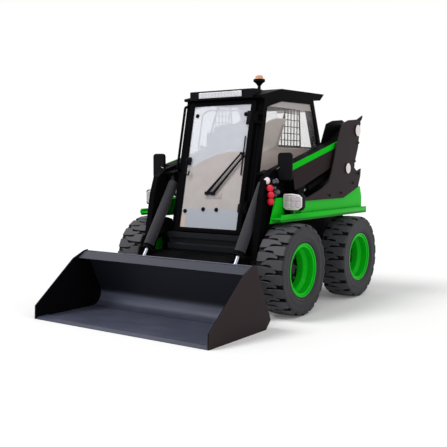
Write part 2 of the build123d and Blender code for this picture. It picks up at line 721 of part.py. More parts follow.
# ---------------------------------------------------------------- boom
beam_profile = [
    (-487, 1259), (400, 1483), (620, 1590), (700, 1650), (790, 1650), (806, 1600), (790, 1545),
    (740, 1500), (400, 1283), (-305, 1070), (-430, 1047),
]
leg_profile = [
    (-350, 1293), (-620, 1222), (-735, 1150), (-790, 1000), (-840, 740), (-890, 480), (-1010, 300),
    (-1075, 200), (-1050, 105), (-950, 215), (-800, 430), (-745, 620), (-700, 790), (-620, 930),
    (-450, 1040), (-350, 1065),
]
ear_wall = 12
tilt_ears = (tilt_x - 39, tilt_x + 39 - ear_wall)       # x of the ears on both sides of the tilt cylinder
bracket_reach = leg[0] + 6 - tilt_ears[0]               # from the inner ear into the leg
with BuildPart() as boom_arms:
    for hand in (1, -1):
        with BuildSketch(side(hand * beam[0])):
            Polygon(*beam_profile, align=None)
            with Locations(arm_pivot):
                Circle(62)
        extrude(amount=hand * (beam[1] - beam[0]))
        with BuildSketch(side(hand * leg[0])):
            Polygon(*leg_profile, align=None)
            with Locations(bucket_pin):
                Circle(boss_r)
        extrude(amount=hand * (leg[1] - leg[0]))
        # Lift rod's ears, under the beam.
        for x in (beam[0] + 11, beam[1] - 25):
            with BuildSketch(side(hand * x)):
                Polygon((-380, 1070), (-330, 985), (-300, 965), (-270, 985), (-220, 1100), (-300, 1130), align=None)
            extrude(amount=hand * 14)
        # Tilt cylinder's bracket, inboard of the knee.
        for x in tilt_ears:
            with BuildSketch(side(hand * x)):
                Polygon((-640, 1190), (-520, 1215), (-520, 1110), (-567, 1095), (-610, 1110), align=None)
            extrude(amount=hand * ear_wall)
        with BuildSketch(side(hand * tilt_ears[0])):
            Polygon((-640, 1175), (-520, 1200), (-520, 1216), (-640, 1191), align=None)
        extrude(amount=hand * bracket_reach)
        with BuildSketch(side(hand * tilt_ears[0])):
            with Locations(tilt_base):
                Circle(pin_r)
        extrude(amount=hand * bracket_reach)
        with BuildSketch(side(hand * (beam[0] - 1))):
            with Locations(arm_pivot):
                Circle(30 + running_gap)
        extrude(amount=hand * 130, mode=Mode.SUBTRACT)
        with BuildSketch(side(hand * (leg[0] - 1))):
            with Locations(bucket_pin):
                Circle(pin_r + running_gap)
        extrude(amount=hand * 60, mode=Mode.SUBTRACT)
save("boom_arms", boom_arms)

with BuildPart() as boom_cross:
    with BuildSketch(side(-leg[0] + seat_gap)):
        Polygon((-794, 430), (-854, 438), (-854, 495), (-794, 495), align=None)
    extrude(amount=2 * (leg[0] - seat_gap))
    with BuildSketch(side(-cab_half)):
        Polygon((-850, 442), (-1000, 440), (-1010, 450), (-1000, 462), (-850, 492), align=None)
    extrude(amount=2 * cab_half)
save("boom_cross", boom_cross)

with BuildPart() as couplers:
    with BuildSketch(side(leg[1] + seat_gap)):
        Polygon((-700, 920), (-735, 1020), (-720, 1150), (-670, 1150), (-650, 920), align=None)
    extrude(amount=30)
    for z in (960, 1010, 1060, 1115):
        with BuildSketch(front(-690)):
            with Locations((leg[1] + 16, z)):
                Circle(15)
        extrude(amount=75)
save("couplers", couplers)


def knee_top(y):
    """Height of the boom's knee at y, plus the seat gap."""
    (y_a, z_a), (y_b, z_b) = leg_profile[:2]
    return z_a + (y - y_a) * (z_b - z_a) / (y_b - y_a) + seat_gap


mirror_post_x = leg[0] + 10
with BuildPart() as mirrors:
    for hand in (1, -1):
        with BuildSketch(front(-572)):
            with Locations((hand * (leg[1] + 75), 1246)):
                RectangleRounded(135, 235, 26)
        extrude(amount=-34)
        with BuildSketch(side(hand * mirror_post_x)):
            Polygon((-576, knee_top(-576)), (-550, knee_top(-550)), (-550, 1266), (-576, 1266), align=None)
        extrude(amount=hand * 16)
        with BuildSketch(side(hand * mirror_post_x)):
            Polygon((-572, 1250), (-556, 1250), (-556, 1266), (-572, 1266), align=None)
        extrude(amount=hand * 80)
save("mirrors", mirrors)

# ---------------------------------------------------------------- cylinders


def line_frame(start, end, x):
    """Plane at start whose normal points at end, both (y, z) points at the same x."""
    run = Vector(0, end[0] - start[0], end[1] - start[1])
    return Plane(origin=(x, mid_y + start[0], start[1]), x_dir=(1, 0, 0), z_dir=run.normalized())


# Columns: name, pin at the base, pin at the eye, x, barrel's radius, rod's radius, barrel's length,
# rod's length, half the width of the eyes, radius of the base pin, outer radius of the rod's eye.
for name, base, eye, x, radius, rod_r, length, rod_length, half, bore, eye_outer in (
    ("lift", lift_base, lift_eye, sum(beam) / 2, 37, 20, 700, 760, 25, 25, 34),
    ("tilt", tilt_base, tilt_eye, tilt_x, 46, 18, 731, 880, 22, pin_r, 32),
):
    with BuildPart() as barrels:
        for hand in (1, -1):
            axis_plane = line_frame(base, eye, hand * x)
            with BuildSketch(axis_plane.offset(bore + 24)):
                Circle(radius)
            extrude(amount=length - bore - 24)
            with BuildSketch(side(hand * x - half)):
                with Locations(base):
                    Circle(bore + 18)
            extrude(amount=2 * half)
            with BuildSketch(axis_plane):
                Rectangle(2 * half, 2 * (bore + 10))
            extrude(amount=bore + 30)
            with BuildSketch(side(hand * x - half - 1)):
                with Locations(base):
                    Circle(bore + running_gap)
            extrude(amount=2 * half + 2, mode=Mode.SUBTRACT)
            with BuildSketch(axis_plane.offset(bore + 44)):
                Circle(rod_r + running_gap)
            extrude(amount=length, mode=Mode.SUBTRACT)
    save(f"{name}_barrels", barrels)

    with BuildPart() as rods:
        for hand in (1, -1):
            with BuildSketch(line_frame(eye, base, hand * x)):
                Circle(rod_r)
            extrude(amount=rod_length)
            with BuildSketch(side(hand * x - half)):
                with Locations(eye):
                    Circle(eye_outer)
            extrude(amount=2 * half)
            with BuildSketch(side(hand * x - half - 1)):
                with Locations(eye):
                    Circle(eye_outer - 14)
            extrude(amount=2 * half + 2, mode=Mode.SUBTRACT)
    save(f"{name}_rods", rods)

# ---------------------------------------------------------------- bucket
bucket_half = 877.5
cheek = 12
floor_t = 10
back_foot = -1087       # where the back's outer face would meet the ground
back_top = (-1336, 512)
heel_r = 120
lip_depth = 125
cheek_profile = [
    (-lip_reach, 0), (-lip_reach + 5, 110), (-1495, 456), (-1366, 511), (-1324, 518), (-1105, 68), (-1175, 0),
]
inner_bucket = bucket_half - cheek
with BuildPart() as bucket_shell:
    slope = Vector(back_top[0] - back_foot, back_top[1]).normalized()
    turn = math.acos(-slope.X) / 2          # half the angle between floor and back
    inset = floor_t / math.tan(turn)
    with BuildSketch(side(-inner_bucket)):
        with BuildLine():
            outer = FilletPolyline((-lip_reach + lip_depth, 0), (back_foot, 0), back_top, radius=heel_r)
            inner = FilletPolyline(
                (-lip_reach + lip_depth, floor_t), (back_foot - inset, floor_t),
                (back_top[0] - floor_t * slope.Y, back_top[1] + floor_t * slope.X), radius=heel_r - floor_t)
            Line(outer @ 0, inner @ 0)
            Line(outer @ 1, inner @ 1)
        make_face()
        # Folded stiffener along the top.
        Polygon((-1330, 505), (-1366, 503), (-1446, 455), (-1430, 445), (-1306, 455), align=None)
    extrude(amount=2 * inner_bucket)
save("bucket_shell", bucket_shell)

with BuildPart() as bucket_cheeks:
    for x in (inner_bucket, -bucket_half):
        with BuildSketch(side(x)):
            Polygon(*cheek_profile, align=None)
        extrude(amount=cheek)
save("bucket_cheeks", bucket_cheeks)

with BuildPart() as cutting_edge:
    with BuildSketch(side(-inner_bucket)):
        Polygon((-lip_reach, 0), (-lip_reach, 6), (-lip_reach + 40, 18), (-lip_reach + lip_depth, 18),
                (-lip_reach + lip_depth, 0), align=None)
    extrude(amount=2 * inner_bucket)
save("cutting_edge", cutting_edge)


def back_y(z):
    """The bucket's back face at height z."""
    return back_top[0] + (back_top[1] - z) * (back_foot - back_top[0]) / back_top[1]


coupler_half = leg[1] + 24
coupler_ears = ((leg[0] - 16, 12), (leg[1] + 4, 10))     # x and thickness, on both sides of the boom's leg
with BuildPart() as quick_coupler:
    with BuildSketch(side(-coupler_half)):
        Polygon((back_y(180) + 0.4, 180), (back_y(420) + 0.4, 420), (back_y(420) + 17, 428),
                (back_y(180) + 17, 188), align=None)
    extrude(amount=2 * coupler_half)
    for hand in (1, -1):
        for x in tilt_ears:
            with BuildSketch(side(hand * x)):
                Polygon((back_y(200) + 10, 200), (back_y(400) + 10, 400), (back_y(400) + 40, 400),
                        (-1120, 325), (-1085, 300), (-1090, 240), align=None)
                with Locations(tilt_eye):
                    Circle(36)
            extrude(amount=hand * ear_wall)
        for x, width in coupler_ears:
            with BuildSketch(side(hand * x)):
                Polygon((back_y(190) + 10, 190), (back_y(300) + 10, 300), (back_y(300) + 40, 300),
                        (bucket_pin[0], bucket_pin[1] + 40), (bucket_pin[0], bucket_pin[1] - 40), align=None)
                with Locations(bucket_pin):
                    Circle(44)
            extrude(amount=hand * width)
        with BuildSketch(side(hand * coupler_ears[0][0])):
            with Locations(bucket_pin):
                Circle(pin_r)
        extrude(amount=hand * (leg[1] - leg[0] + 30))
save("quick_coupler", quick_coupler)
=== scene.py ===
"""Looks of an electric skid steer loader, built around its packed construction.

Everything is in metres in the loader's own frame: front is -Y, the machine's left is +X and up is +Z.
Places come from the frame: the boxes of its nodes and the pins of its joints.
"""

import json
import math
from contextlib import contextmanager

import bmesh
import bpy
from bpy.props import FloatProperty, FloatVectorProperty, IntProperty, PointerProperty
from mathutils import Matrix, Vector


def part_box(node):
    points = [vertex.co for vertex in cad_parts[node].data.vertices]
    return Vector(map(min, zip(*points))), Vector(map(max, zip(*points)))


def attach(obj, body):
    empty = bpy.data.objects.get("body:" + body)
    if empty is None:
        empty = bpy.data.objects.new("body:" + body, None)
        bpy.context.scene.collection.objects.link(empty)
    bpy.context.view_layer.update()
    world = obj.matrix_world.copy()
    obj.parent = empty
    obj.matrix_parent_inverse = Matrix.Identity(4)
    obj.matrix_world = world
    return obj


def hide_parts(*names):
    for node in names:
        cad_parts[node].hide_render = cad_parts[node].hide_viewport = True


bl_info = {
    "name": "Skid Steer Loader",
    "version": (1, 0, 0),
    "blender": (4, 5, 0),
    "location": "View3D > Sidebar > Loader",
    "description": "Dresses the loader's frame with tyres, paint, glass, lamps and trim",
    "category": "Add Mesh",
}

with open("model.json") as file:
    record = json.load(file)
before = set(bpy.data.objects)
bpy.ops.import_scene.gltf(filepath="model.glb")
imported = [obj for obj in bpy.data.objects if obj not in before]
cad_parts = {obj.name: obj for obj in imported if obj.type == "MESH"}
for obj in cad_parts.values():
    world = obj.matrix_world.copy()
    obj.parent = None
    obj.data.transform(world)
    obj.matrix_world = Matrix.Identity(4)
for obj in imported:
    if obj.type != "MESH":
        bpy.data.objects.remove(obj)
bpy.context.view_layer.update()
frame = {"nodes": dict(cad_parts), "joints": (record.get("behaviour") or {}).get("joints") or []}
joints = {joint["name"]: joint for joint in frame["joints"]}
pins = {name: Vector(joint["pos_m"]) for name, joint in joints.items() if joint.get("pos_m")}
LUG_TURN = math.radians(5.94)        # a lug's corner stands on the ground
WHEELS = ("front_left", "front_right", "rear_left", "rear_right")
HANDS = (("left", 1), ("right", -1))
# Of each cylinder: distance from the middle, radii of barrel and rod, length of the barrel.
CYLINDERS = {"tilt": (0.485, 0.046, 0.018, 0.731), "lift": (0.645, 0.037, 0.020, 0.700)}
HUB_DISC_X = 0.698                      # the wheel disc's distance from the middle
GLASS_LOW, GLASS_HIGH = 0.692, 1.795    # heights of the door's glass
# The boom's stripe runs down from where the beam's upper edge meets the knee, at (y, z).
STRIPE_START = Vector((-0.012, 1.259))
STRIPE_SLOPE = 224 / 887
STRIPE_WIDTH = 0.047
CAMERA_X, CAMERA_Y = 3.678, -5.338

# The door leans back: its own frame has X across, Y up its slope and Z out of its face.
door_up = Vector(joints["door_swing"]["axis"])
door_out = Vector((0, -door_up.z, door_up.y))
HINGE_STANDOFF = 0.006
door_root = pins["door_swing"] - HINGE_STANDOFF * door_out
DOOR = Matrix((
    (1, 0, 0, 0),
    (0, door_up.y, door_out.y, door_root.y),
    (0, door_up.z, door_out.z, door_root.z),
    (0, 0, 0, 1),
))
# Drawing frames: SIDE draws (y, z) and extrudes along +X, FRONT draws (x, z) and extrudes forwards.
SIDE = Matrix(((0, 0, 1, 0), (1, 0, 0, 0), (0, 1, 0, 0), (0, 0, 0, 1)))
FRONT = Matrix(((1, 0, 0, 0), (0, 0, -1, 0), (0, 1, 0, 0), (0, 0, 0, 1)))


def srgb(code):
    """Linear red, green and blue of a colour written as six hexadecimal digits."""
    parts = [int(code[i:i + 2], 16) / 255 for i in (0, 2, 4)]
    return tuple(p / 12.92 if p <= 0.04045 else ((p + 0.055) / 1.055) ** 2.4 for p in parts)


def toned(shade, factor, lift=0.0):
    """A shade made lighter or darker by a factor, then lifted evenly."""
    return tuple(c * factor + lift for c in shade)


# ------------------------------------------------------------------------------ settings


def colour(name, code, description):
    return FloatVectorProperty(
        name=name, description=description, subtype="COLOR", size=3, min=0, max=1, default=srgb(code))


def length(name, default, description):
    return FloatProperty(
        name=name, description=description, default=default, unit="LENGTH", subtype="DISTANCE")


def angle(name, degrees, description):
    return FloatProperty(name=name, description=description, default=math.radians(degrees), subtype="ANGLE")


class LoaderPaint(bpy.types.PropertyGroup):
    green: colour("Green", "0CBC1C", "Enamel of the side frames, rims and stripe")
    black: colour("Black", "0A0A0C", "Enamel of the cab, arms and lower frame")
    grey: colour("Brown-grey", "2D2527", "Enamel of the towers and the bucket's cheeks")
    bucket: colour("Bucket", "434656", "Enamel of the bucket's shell")
    rubber: colour("Rubber", "232327", "Tyres")
    sleeve: colour("Sleeve", "2C2B33", "Woven sleeves of the tilt cylinders")
    red: colour("Coupler red", "D4102E", "Dust caps of the couplers")
    amber: colour("Amber", "E2A068", "Dome of the beacon")


class LoaderTyres(bpy.types.PropertyGroup):
    lugs: IntProperty(name="Lugs", description="Lugs along each shoulder", default=20, min=8, max=40)
    depth: length("Lug depth", 0.026, "Height of a lug above the tread's floor")


class LoaderStage(bpy.types.PropertyGroup):
    height: length("Camera height", 1.255, "Height of the camera above the ground")
    lens: FloatProperty(name="Lens", description="Focal length in millimetres", default=57.79)
    azimuth: angle("Azimuth", 34.59, "Bearing of the camera")
    dip: angle("Dip", 4.63, "How far the camera looks down")
    roll: angle("Roll", 0.15, "Roll of the camera")


# ------------------------------------------------------------------------------ shader maths


class Value:
    """A socket that takes part in Python expressions."""

    def __init__(self, shading, socket):
        self.shading = shading
        self.socket = socket

    def maths(self, operation, *others, reflected=False):
        terms = (*others, self) if reflected else (self, *others)
        return self.shading.node("ShaderNodeMath", {"operation": operation}, dict(enumerate(terms)))

    def __add__(self, other):
        return self.maths("ADD", other)

    __radd__ = __add__

    def __sub__(self, other):
        return self.maths("SUBTRACT", other)

    def __rsub__(self, other):
        return self.maths("SUBTRACT", other, reflected=True)

    def __mul__(self, other):
        return self.maths("MULTIPLY", other)

    __rmul__ = __mul__

    def __abs__(self):
        return self.maths("ABSOLUTE")

    def above(self, edge, blur):
        """0 below edge and 1 above it, with a soft step as wide as blur."""
        return self.shading.node(
            "ShaderNodeMapRange", {"interpolation_type": "SMOOTHSTEP"},
            {"Value": self, "From Min": edge - blur / 2, "From Max": edge + blur / 2}, "Result")

    def band(self, low, high, blur):
        return self.above(low, blur) * (1 - self.above(high, blur))


class Shading:
    """The nodes of a material or of the world."""

    def __init__(self, tree):
        self.tree = tree

    def node(self, kind, settings=None, inputs=None, output=0):
        made = self.tree.nodes.new(kind)
        for key, value in (settings or {}).items():
            setattr(made, key, value)
        for key, value in (inputs or {}).items():
            self.feed(made.inputs[key], value)
        return Value(self, made.outputs[output])

    def feed(self, socket, value):
        if isinstance(value, Value):
            self.tree.links.new(value.socket, socket)
        elif hasattr(value, "__len__") and len(value) == 3 and socket.type == "RGBA":
            socket.default_value = (*value, 1)
        else:
            socket.default_value = value


class Finish(Shading):
    """A procedural material: one Principled shader, driven by patterns on Object coordinates."""

    def __init__(self, name, **sockets):
        self.material = bpy.data.materials.new(name)
        self.material.use_nodes = True
        super().__init__(self.material.node_tree)
        self.shader = self.tree.nodes["Principled BSDF"]
        self.point = self.node("ShaderNodeTexCoord", output="Object")
        self.bumps = None
        self.set(**sockets)

    def set(self, **sockets):
        """Sockets of the shader by name, with underscores for spaces."""
        for name, value in sockets.items():
            self.feed(self.shader.inputs[name.replace("_", " ")], value)
        return self

    def axes(self):
        split = self.node("ShaderNodeSeparateXYZ", inputs={"Vector": self.point})
        return tuple(Value(self, socket) for socket in split.socket.node.outputs)

    def stretched(self, x, y, z):
        return self.node("ShaderNodeMapping", inputs={"Vector": self.point, "Scale": (x, y, z)})

    def noise(self, scale, detail=3.0, roughness=0.5, place=None):
        inputs = {"Vector": place or self.point, "Scale": scale, "Detail": detail, "Roughness": roughness}
        return self.node("ShaderNodeTexNoise", {}, inputs, "Fac")

    def mix(self, factor, a, b):
        """Colour a where factor is 0 and colour b where it is 1."""
        return self.node("ShaderNodeMix", {"data_type": "RGBA"}, {0: factor, 6: a, 7: b}, 2)

    def outside(self, limit, blur=0.002):
        """1 further than limit from the machine's middle plane."""
        return abs(self.axes()[0]).above(limit, blur)

    def over(self, factor, shade):
        """The colour as it stands, with a shade over it where factor is 1."""
        return self.set(Base_Color=self.mix(factor, self.colour(), shade))

    def under(self, factor, shade):
        """The colour as it stands where factor is 1, and a shade where it is 0."""
        return self.set(Base_Color=self.mix(factor, shade, self.colour()))

    def colour(self):
        return Value(self, self.shader.inputs["Base Color"].links[0].from_socket)

    def bump(self, height, distance, strength=1.0):
        """Adds a relief on top of those added before."""
        inputs = {"Height": height, "Distance": distance, "Strength": strength}
        if self.bumps is not None:
            inputs["Normal"] = self.bumps
        self.bumps = self.node("ShaderNodeBump", {}, inputs, "Normal")
        return self.set(Normal=self.bumps)


# ------------------------------------------------------------------------------ finishes


DUST = (0.30, 0.28, 0.26)
SATIN = {"rough": 0.34, "gloss": 0.06, "dust": 0.03}       # the green enamel
MATT = {"rough": 0.45, "gloss": 0.012, "dust": 0.012}      # the black enamel


def enamel(name, shade, rough, gloss, dust=0.10):
    """Sprayed enamel: slight orange peel, uneven gloss and a little dust on what faces up."""
    finish = Finish(name, Specular_IOR_Level=gloss)
    cloud = finish.noise(5.0, 4.0, 0.6)
    fine = finish.noise(130.0, 2.0)
    normal = finish.node("ShaderNodeTexCoord", output="Normal")
    up = finish.node("ShaderNodeSeparateXYZ", inputs={"Vector": normal}, output="Z")
    settled = up.above(0.75, 0.5) * cloud.above(0.48, 0.5) * dust
    varied = finish.mix(cloud * 0.22, shade, toned(shade, 1.35, 0.003))
    finish.set(Base_Color=finish.mix(settled, varied, DUST),
               Roughness=cloud * 0.16 + fine * 0.05 + (rough - 0.1))
    return finish.bump(fine, 0.0004, 0.35)


def rubber(name, shade, hub):
    """Moulded rubber: fine grain, with painted shade in the grooves and a painted highlight on the lugs'
    tops.
    """
    finish = Finish(name, Specular_IOR_Level=0.28)
    cloud = finish.noise(9.0, 5.0, 0.65)
    grain = finish.noise(420.0, 2.0)
    x, y, z = finish.axes()
    from_hub = ((y - hub.y) * (y - hub.y) + (z - hub.z) * (z - hub.z)).maths("SQRT")
    wall, lug_top, groove_floor = 0.8715, hub.z - 0.010, hub.z - 0.034
    # The lugs' tops made lighter: painted highlight.
    lug_top_highlight = from_hub.above(lug_top, 0.012) * (cloud * 0.6 + 0.55)
    # The grooves between the lugs darkened: painted shade.
    groove_painted_shade = from_hub.band(groove_floor, lug_top, 0.008) * (1 - abs(x).above(wall, 0.003))
    mottled = finish.mix(cloud.above(0.5, 0.55) * 0.3, shade, toned(shade, 1.7))
    base = finish.mix(lug_top_highlight, mottled, toned(shade, 2.7, 0.020))
    finish.set(Base_Color=finish.mix(groove_painted_shade, base, toned(shade, 0.25)), Roughness=cloud * 0.2 + 0.46)
    return finish.bump(grain, 0.0005, 0.5)


def woven(name, shade):
    """Braided nylon over a tube: fine diagonal strands that cross."""
    finish = Finish(name, Roughness=0.82, Sheen_Weight=0.08, Sheen_Roughness=0.5)
    across, _, along = finish.axes()
    pitch = 0.0085
    strands = [((along + across * sign) * (math.tau / pitch)).maths("SINE") for sign in (1, -1)]
    weave = abs(strands[0] * strands[1])
    cloud = finish.noise(16.0, 4.0, 0.6)
    finish.set(Base_Color=finish.mix(weave * 0.75 + cloud * 0.25, toned(shade, 0.42), toned(shade, 1.5)))
    return finish.bump(weave, 0.0012, 0.8)


def polished(name, shade, rough):
    """Bare metal, drawn or turned, with fine lines along it."""
    finish = Finish(name, Metallic=1.0)
    lines = finish.noise(60.0, 2.0, 0.5, finish.stretched(1, 14, 1))
    finish.set(Base_Color=finish.mix(lines * 0.12, shade, (0.5, 0.5, 0.52)), Roughness=lines * 0.08 + rough)
    return finish


def moulded(name, shade, rough, gloss=0.5):
    """Moulded plastic with a fine leather-like grain."""
    finish = Finish(name, Specular_IOR_Level=gloss)
    grain = finish.noise(260.0, 3.0, 0.6)
    cloud = finish.noise(11.0, 3.0)
    finish.set(Base_Color=finish.mix(cloud * 0.3, shade, toned(shade, 1.6, 0.002)),
               Roughness=cloud * 0.12 + rough)
    return finish.bump(grain, 0.0006, 0.45)


def pane(name, clear, clear_alpha, film, film_alpha, covered, tints, veil=lambda x, y, z: 0.0):
    """Safety glass, clear above and with a pale milky film where covered(x, y, z) is 1; on the left side pane
    that film is a painted reflection.

    Each tint colours the film where its first part is 1, and veil(x, y, z) adds to the glass's alpha.
    """
    finish = Finish(name, Coat_Weight=0.3, Coat_Roughness=0.02, IOR=1.5)
    streaks = finish.noise(3.0, 4.0, 0.6, finish.stretched(1, 1, 3.2))
    patches = finish.noise(6.0, 5.0, 0.6)
    place = finish.axes()
    mask = covered(*place)
    dull = finish.mix(patches.above(0.5, 0.5), film, toned(film, 0.84))
    for part, shade in tints:
        dull = finish.mix(part(*place), dull, shade)
    filmed = mask * (patches * 0.10 + (film_alpha - clear_alpha - 0.05))
    alpha = filmed + streaks * 0.06 + (clear_alpha - 0.03) + veil(*place)
    return finish.set(Base_Color=finish.mix(mask, clear, dull), Roughness=streaks * 0.05 + 0.03, Alpha=alpha)


# At the foot of the door's glass: top of the cool band, top of the warm corner and x between them.
BAND_TOP, CORNER_TOP, BAND_START = 0.872, 0.800, -0.255
SILL = 1.40             # height of the side windows' foot


def door_film(x, y, z):
    """The film on the door reaches highest beside the wiper's blade."""
    top, middle, fall = 1.38, 0.22, 0.62
    off = x - middle
    return 1 - (z + off * off * fall).above(top, 0.022)


def door_foot(x, y, z):
    """The cool band along the foot of the glass."""
    return (1 - z.above(BAND_TOP, 0.010)) * x.above(BAND_START, 0.02) * 0.85


def door_corner(x, y, z):
    """The warm corner beside that band."""
    return (1 - z.above(CORNER_TOP, 0.04)) * (1 - x.above(BAND_START, 0.02)) * 0.8


def side_film_painted_reflection(x, y, z):
    """On the left pane the film, a painted reflection, fills the front below the roof and the strip below the
    guard.
    """
    top, guard_foot, roof = 1.678, 1.415, 1.775
    off = y - 0.32
    below_top = 1 - (z + off * off * 0.75).above(top, 0.014)
    ahead_of_guard = 1 - (y - (z - 1.66) * 0.62).above(0.40, 0.016)
    front = below_top * ahead_of_guard
    low = 1 - z.above(guard_foot, 0.012)
    lining = z.above(roof, 0.006) * 0.6
    panes = front + low - front * low
    return (panes + lining - panes * lining) * x.above(0, 0.01)


def side_foot_painted_light(x, y, z):
    """Painted light: the film pales towards the foot of the pane, where the arm's shadow falls."""
    return 1 - z.above(SILL, 0.10)


def side_rear_painted_light(x, y, z):
    """Painted light in the arm's shadow: the film is warmer in the foot's rear corner."""
    return (1 - z.above(SILL, 0.03)) * y.above(0.62, 0.12) * 0.7


def far_veil(x, y, z):
    """The pane on the machine's right is a little more opaque."""
    return (1 - x.above(0, 0.01)) * 0.05


def lens(name, shade, glow):
    """Ribbed lamp lens over its reflector."""
    finish = Finish(name, Coat_Weight=0.8, Coat_Roughness=0.03, Emission_Strength=1.0)
    x, _, z = finish.axes()
    pitch = 0.012
    across, up = ((axis * (math.tau / pitch)).maths("SINE") for axis in (x, z))
    patches = finish.noise(38.0, 2.0)
    finish.set(Base_Color=finish.mix(patches * 0.4, shade, toned(shade, 0.62)),
               Roughness=patches * 0.1 + 0.12, Emission_Color=toned(shade, glow))
    return finish.bump(across * up, 0.0015, 0.5)


def bucket_steel(name, shade):
    """Blue-grey enamel on the floor, with the seams of the welded plates; painted shade makes the back near
    black and darkens the band under the top edge, and painted highlights lighten the curve from floor to back
    and the top edge itself.
    """
    finish = Finish(name, Specular_IOR_Level=0.35)
    cloud = finish.noise(3.2, 6.0, 0.62)
    streaks = finish.noise(7.0, 4.0, 0.6, finish.stretched(0.6, 6, 6))
    _, y, z = finish.axes()
    low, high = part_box("bucket_shell")
    pale = toned(shade, 1.7, 0.010)
    heel_low, heel_high, heel_front, floor_seam = 0.040, 0.125, -0.92, -0.800
    # The band under the top edge, darkened: painted shade.
    lip = z.above(high.z - 0.055, 0.004)
    rubbed = (cloud * 0.5 + streaks * 0.5).above(0.54, 0.22) * 0.45
    # A streaked lighter band across the curve from floor to back: painted highlight.
    heel_highlight = z.band(heel_low, heel_high, 0.05) * y.above(heel_front, 0.10) * (streaks * 0.7 + 0.45)
    # The back darkened to near black: painted shade.
    back = z.above(heel_high + 0.010, 0.06) * (1 - lip)
    plates = finish.mix(rubbed, shade, pale)
    for part, other in (
        (heel_highlight, toned(shade, 2.4, 0.02)), (back, toned(shade, 0.22)), (lip, toned(shade, 0.55)),
        # The thin pale line along the top edge: painted highlight.
        (z.above(high.z - 0.0045, 0.002), pale),
    ):
        plates = finish.mix(part, plates, other)
    flat = 1 - z.above(0.070, 0.01)
    front_seam = y.band(low.y - 0.001, low.y + 0.008, 0.003)
    seams = flat * (front_seam + y.band(floor_seam, floor_seam + 0.010, 0.004))
    finish.set(Base_Color=finish.mix(seams, plates, (0.002, 0.002, 0.003)), Roughness=cloud * 0.2 + 0.30)
    return finish.bump(streaks, 0.0008, 0.25)


def cheek_paint(name, paint):
    """The bucket's cheeks: brown-grey outside, with painted shade making their inner faces black."""
    finish = enamel(name, paint.grey, rough=0.42, gloss=0.04)
    # Near black on the cheeks' inner faces: painted shade.
    return finish.under(finish.outside(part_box("bucket_cheeks")[1].x - 0.004), (0.003, 0.003, 0.004))


def frame_paint(name, paint):
    """The side frames: green outside, with painted shade under the fender's rail, and black towards the cab.
    """
    finish = enamel(name, paint.green, **SATIN)
    low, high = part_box("side_frames")
    _, _, z = finish.axes()
    # Below the fender's rail the green is darkened: painted shade.
    skirt_painted_shade = finish.outside(high.x - 0.004) * (1 - z.above(low.z + 0.031, 0.004))
    cab_side = 0.602
    return finish.over(skirt_painted_shade, toned(paint.green, 0.42)).under(finish.outside(cab_side, 0.004), paint.black)


def rim_paint(name, paint):
    """The rims: green, with the inboard edge in black."""
    finish = enamel(name, paint.green, rough=0.34, gloss=0.08, dust=0.0)
    inboard_edge = 0.650
    return finish.under(finish.outside(inboard_edge, 0.004), paint.black)


def arm_paint(name, paint):
    """The boom's enamel: black, with the beam's outer face in brown-grey under a green stripe."""
    finish = enamel(name, paint.black, **MATT)
    _, y, z = finish.axes()
    _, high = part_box("boom_arms")
    outer = finish.outside(high.x - 0.003)
    drop = (y - STRIPE_START.x) * STRIPE_SLOPE + STRIPE_START.y - z
    stripe = 1 - drop.above(STRIPE_WIDTH, 0.002)
    edge = finish.outside(high.x - 0.014) * (1 - drop.above(0.010, 0.002))
    return finish.over(outer, paint.grey).over((outer * stripe).maths("MAXIMUM", edge), paint.green)


def tower_paint(name, paint):
    """The towers' outer plates are brown-grey, what lies inside them is black."""
    finish = enamel(name, paint.grey, rough=0.42, gloss=0.03)
    return finish.under(finish.outside(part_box("towers")[1].x - 0.024), paint.black)


# ------------------------------------------------------------------------------ modelling kit


def activate(piece):
    bpy.ops.object.select_all(action="DESELECT")
    piece.select_set(True)
    bpy.context.view_layer.objects.active = piece


def primitive(kind, name, **settings):
    bpy.ops.object.select_all(action="DESELECT")
    getattr(bpy.ops.mesh, f"primitive_{kind}_add")(**settings)
    piece = bpy.context.active_object
    piece.name = piece.data.name = name
    bpy.ops.object.transform_apply(location=True, rotation=True, scale=True)
    return piece


@contextmanager
def editing(piece, kind="FACE", chosen=None):
    """Edit mode with the parts for which chosen(part) is true selected, or with all selected."""
    activate(piece)
    bpy.ops.object.mode_set(mode="EDIT")
    bpy.ops.mesh.select_mode(type=kind)
    bpy.ops.mesh.select_all(action="SELECT" if chosen is None else "DESELECT")
    if chosen is not None:
        cage = bmesh.from_edit_mesh(piece.data)
        for part in cage.faces if kind == "FACE" else cage.edges:
            if chosen(part):
                part.select_set(True)
        bmesh.update_edit_mesh(piece.data)
    yield
    bpy.ops.object.mode_set(mode="OBJECT")


def modify(piece, kind, **settings):
    activate(piece)
    modifier = piece.modifiers.new(kind.title(), kind)
    for name, value in settings.items():
        setattr(modifier, name, value)
    bpy.ops.object.modifier_apply(modifier=modifier.name)
    return piece


def bevel(piece, width, segments=2):
    return modify(piece, "BEVEL", width=width, segments=segments, limit_method="ANGLE",
                  angle_limit=math.radians(32), use_clamp_overlap=True)


def smooth(piece, degrees=35):
    activate(piece)
    bpy.ops.object.shade_smooth_by_angle(angle=math.radians(degrees))
    return piece


def moved(piece, matrix):
    """Puts a piece's mesh at its place; a mirrored one is turned the right way out."""
    piece.data.transform(matrix)
    if matrix.determinant() < 0:
        piece.data.flip_normals()
    return piece


def copied(piece, matrix):
    twin = piece.copy()
    twin.data = piece.data.copy()
    bpy.context.scene.collection.objects.link(twin)
    return moved(twin, matrix)


def joined(name, pieces):
    activate(pieces[0])
    for piece in pieces[1:]:
        piece.select_set(True)
    bpy.ops.object.join()
    pieces[0].name = pieces[0].data.name = name
    return pieces[0]


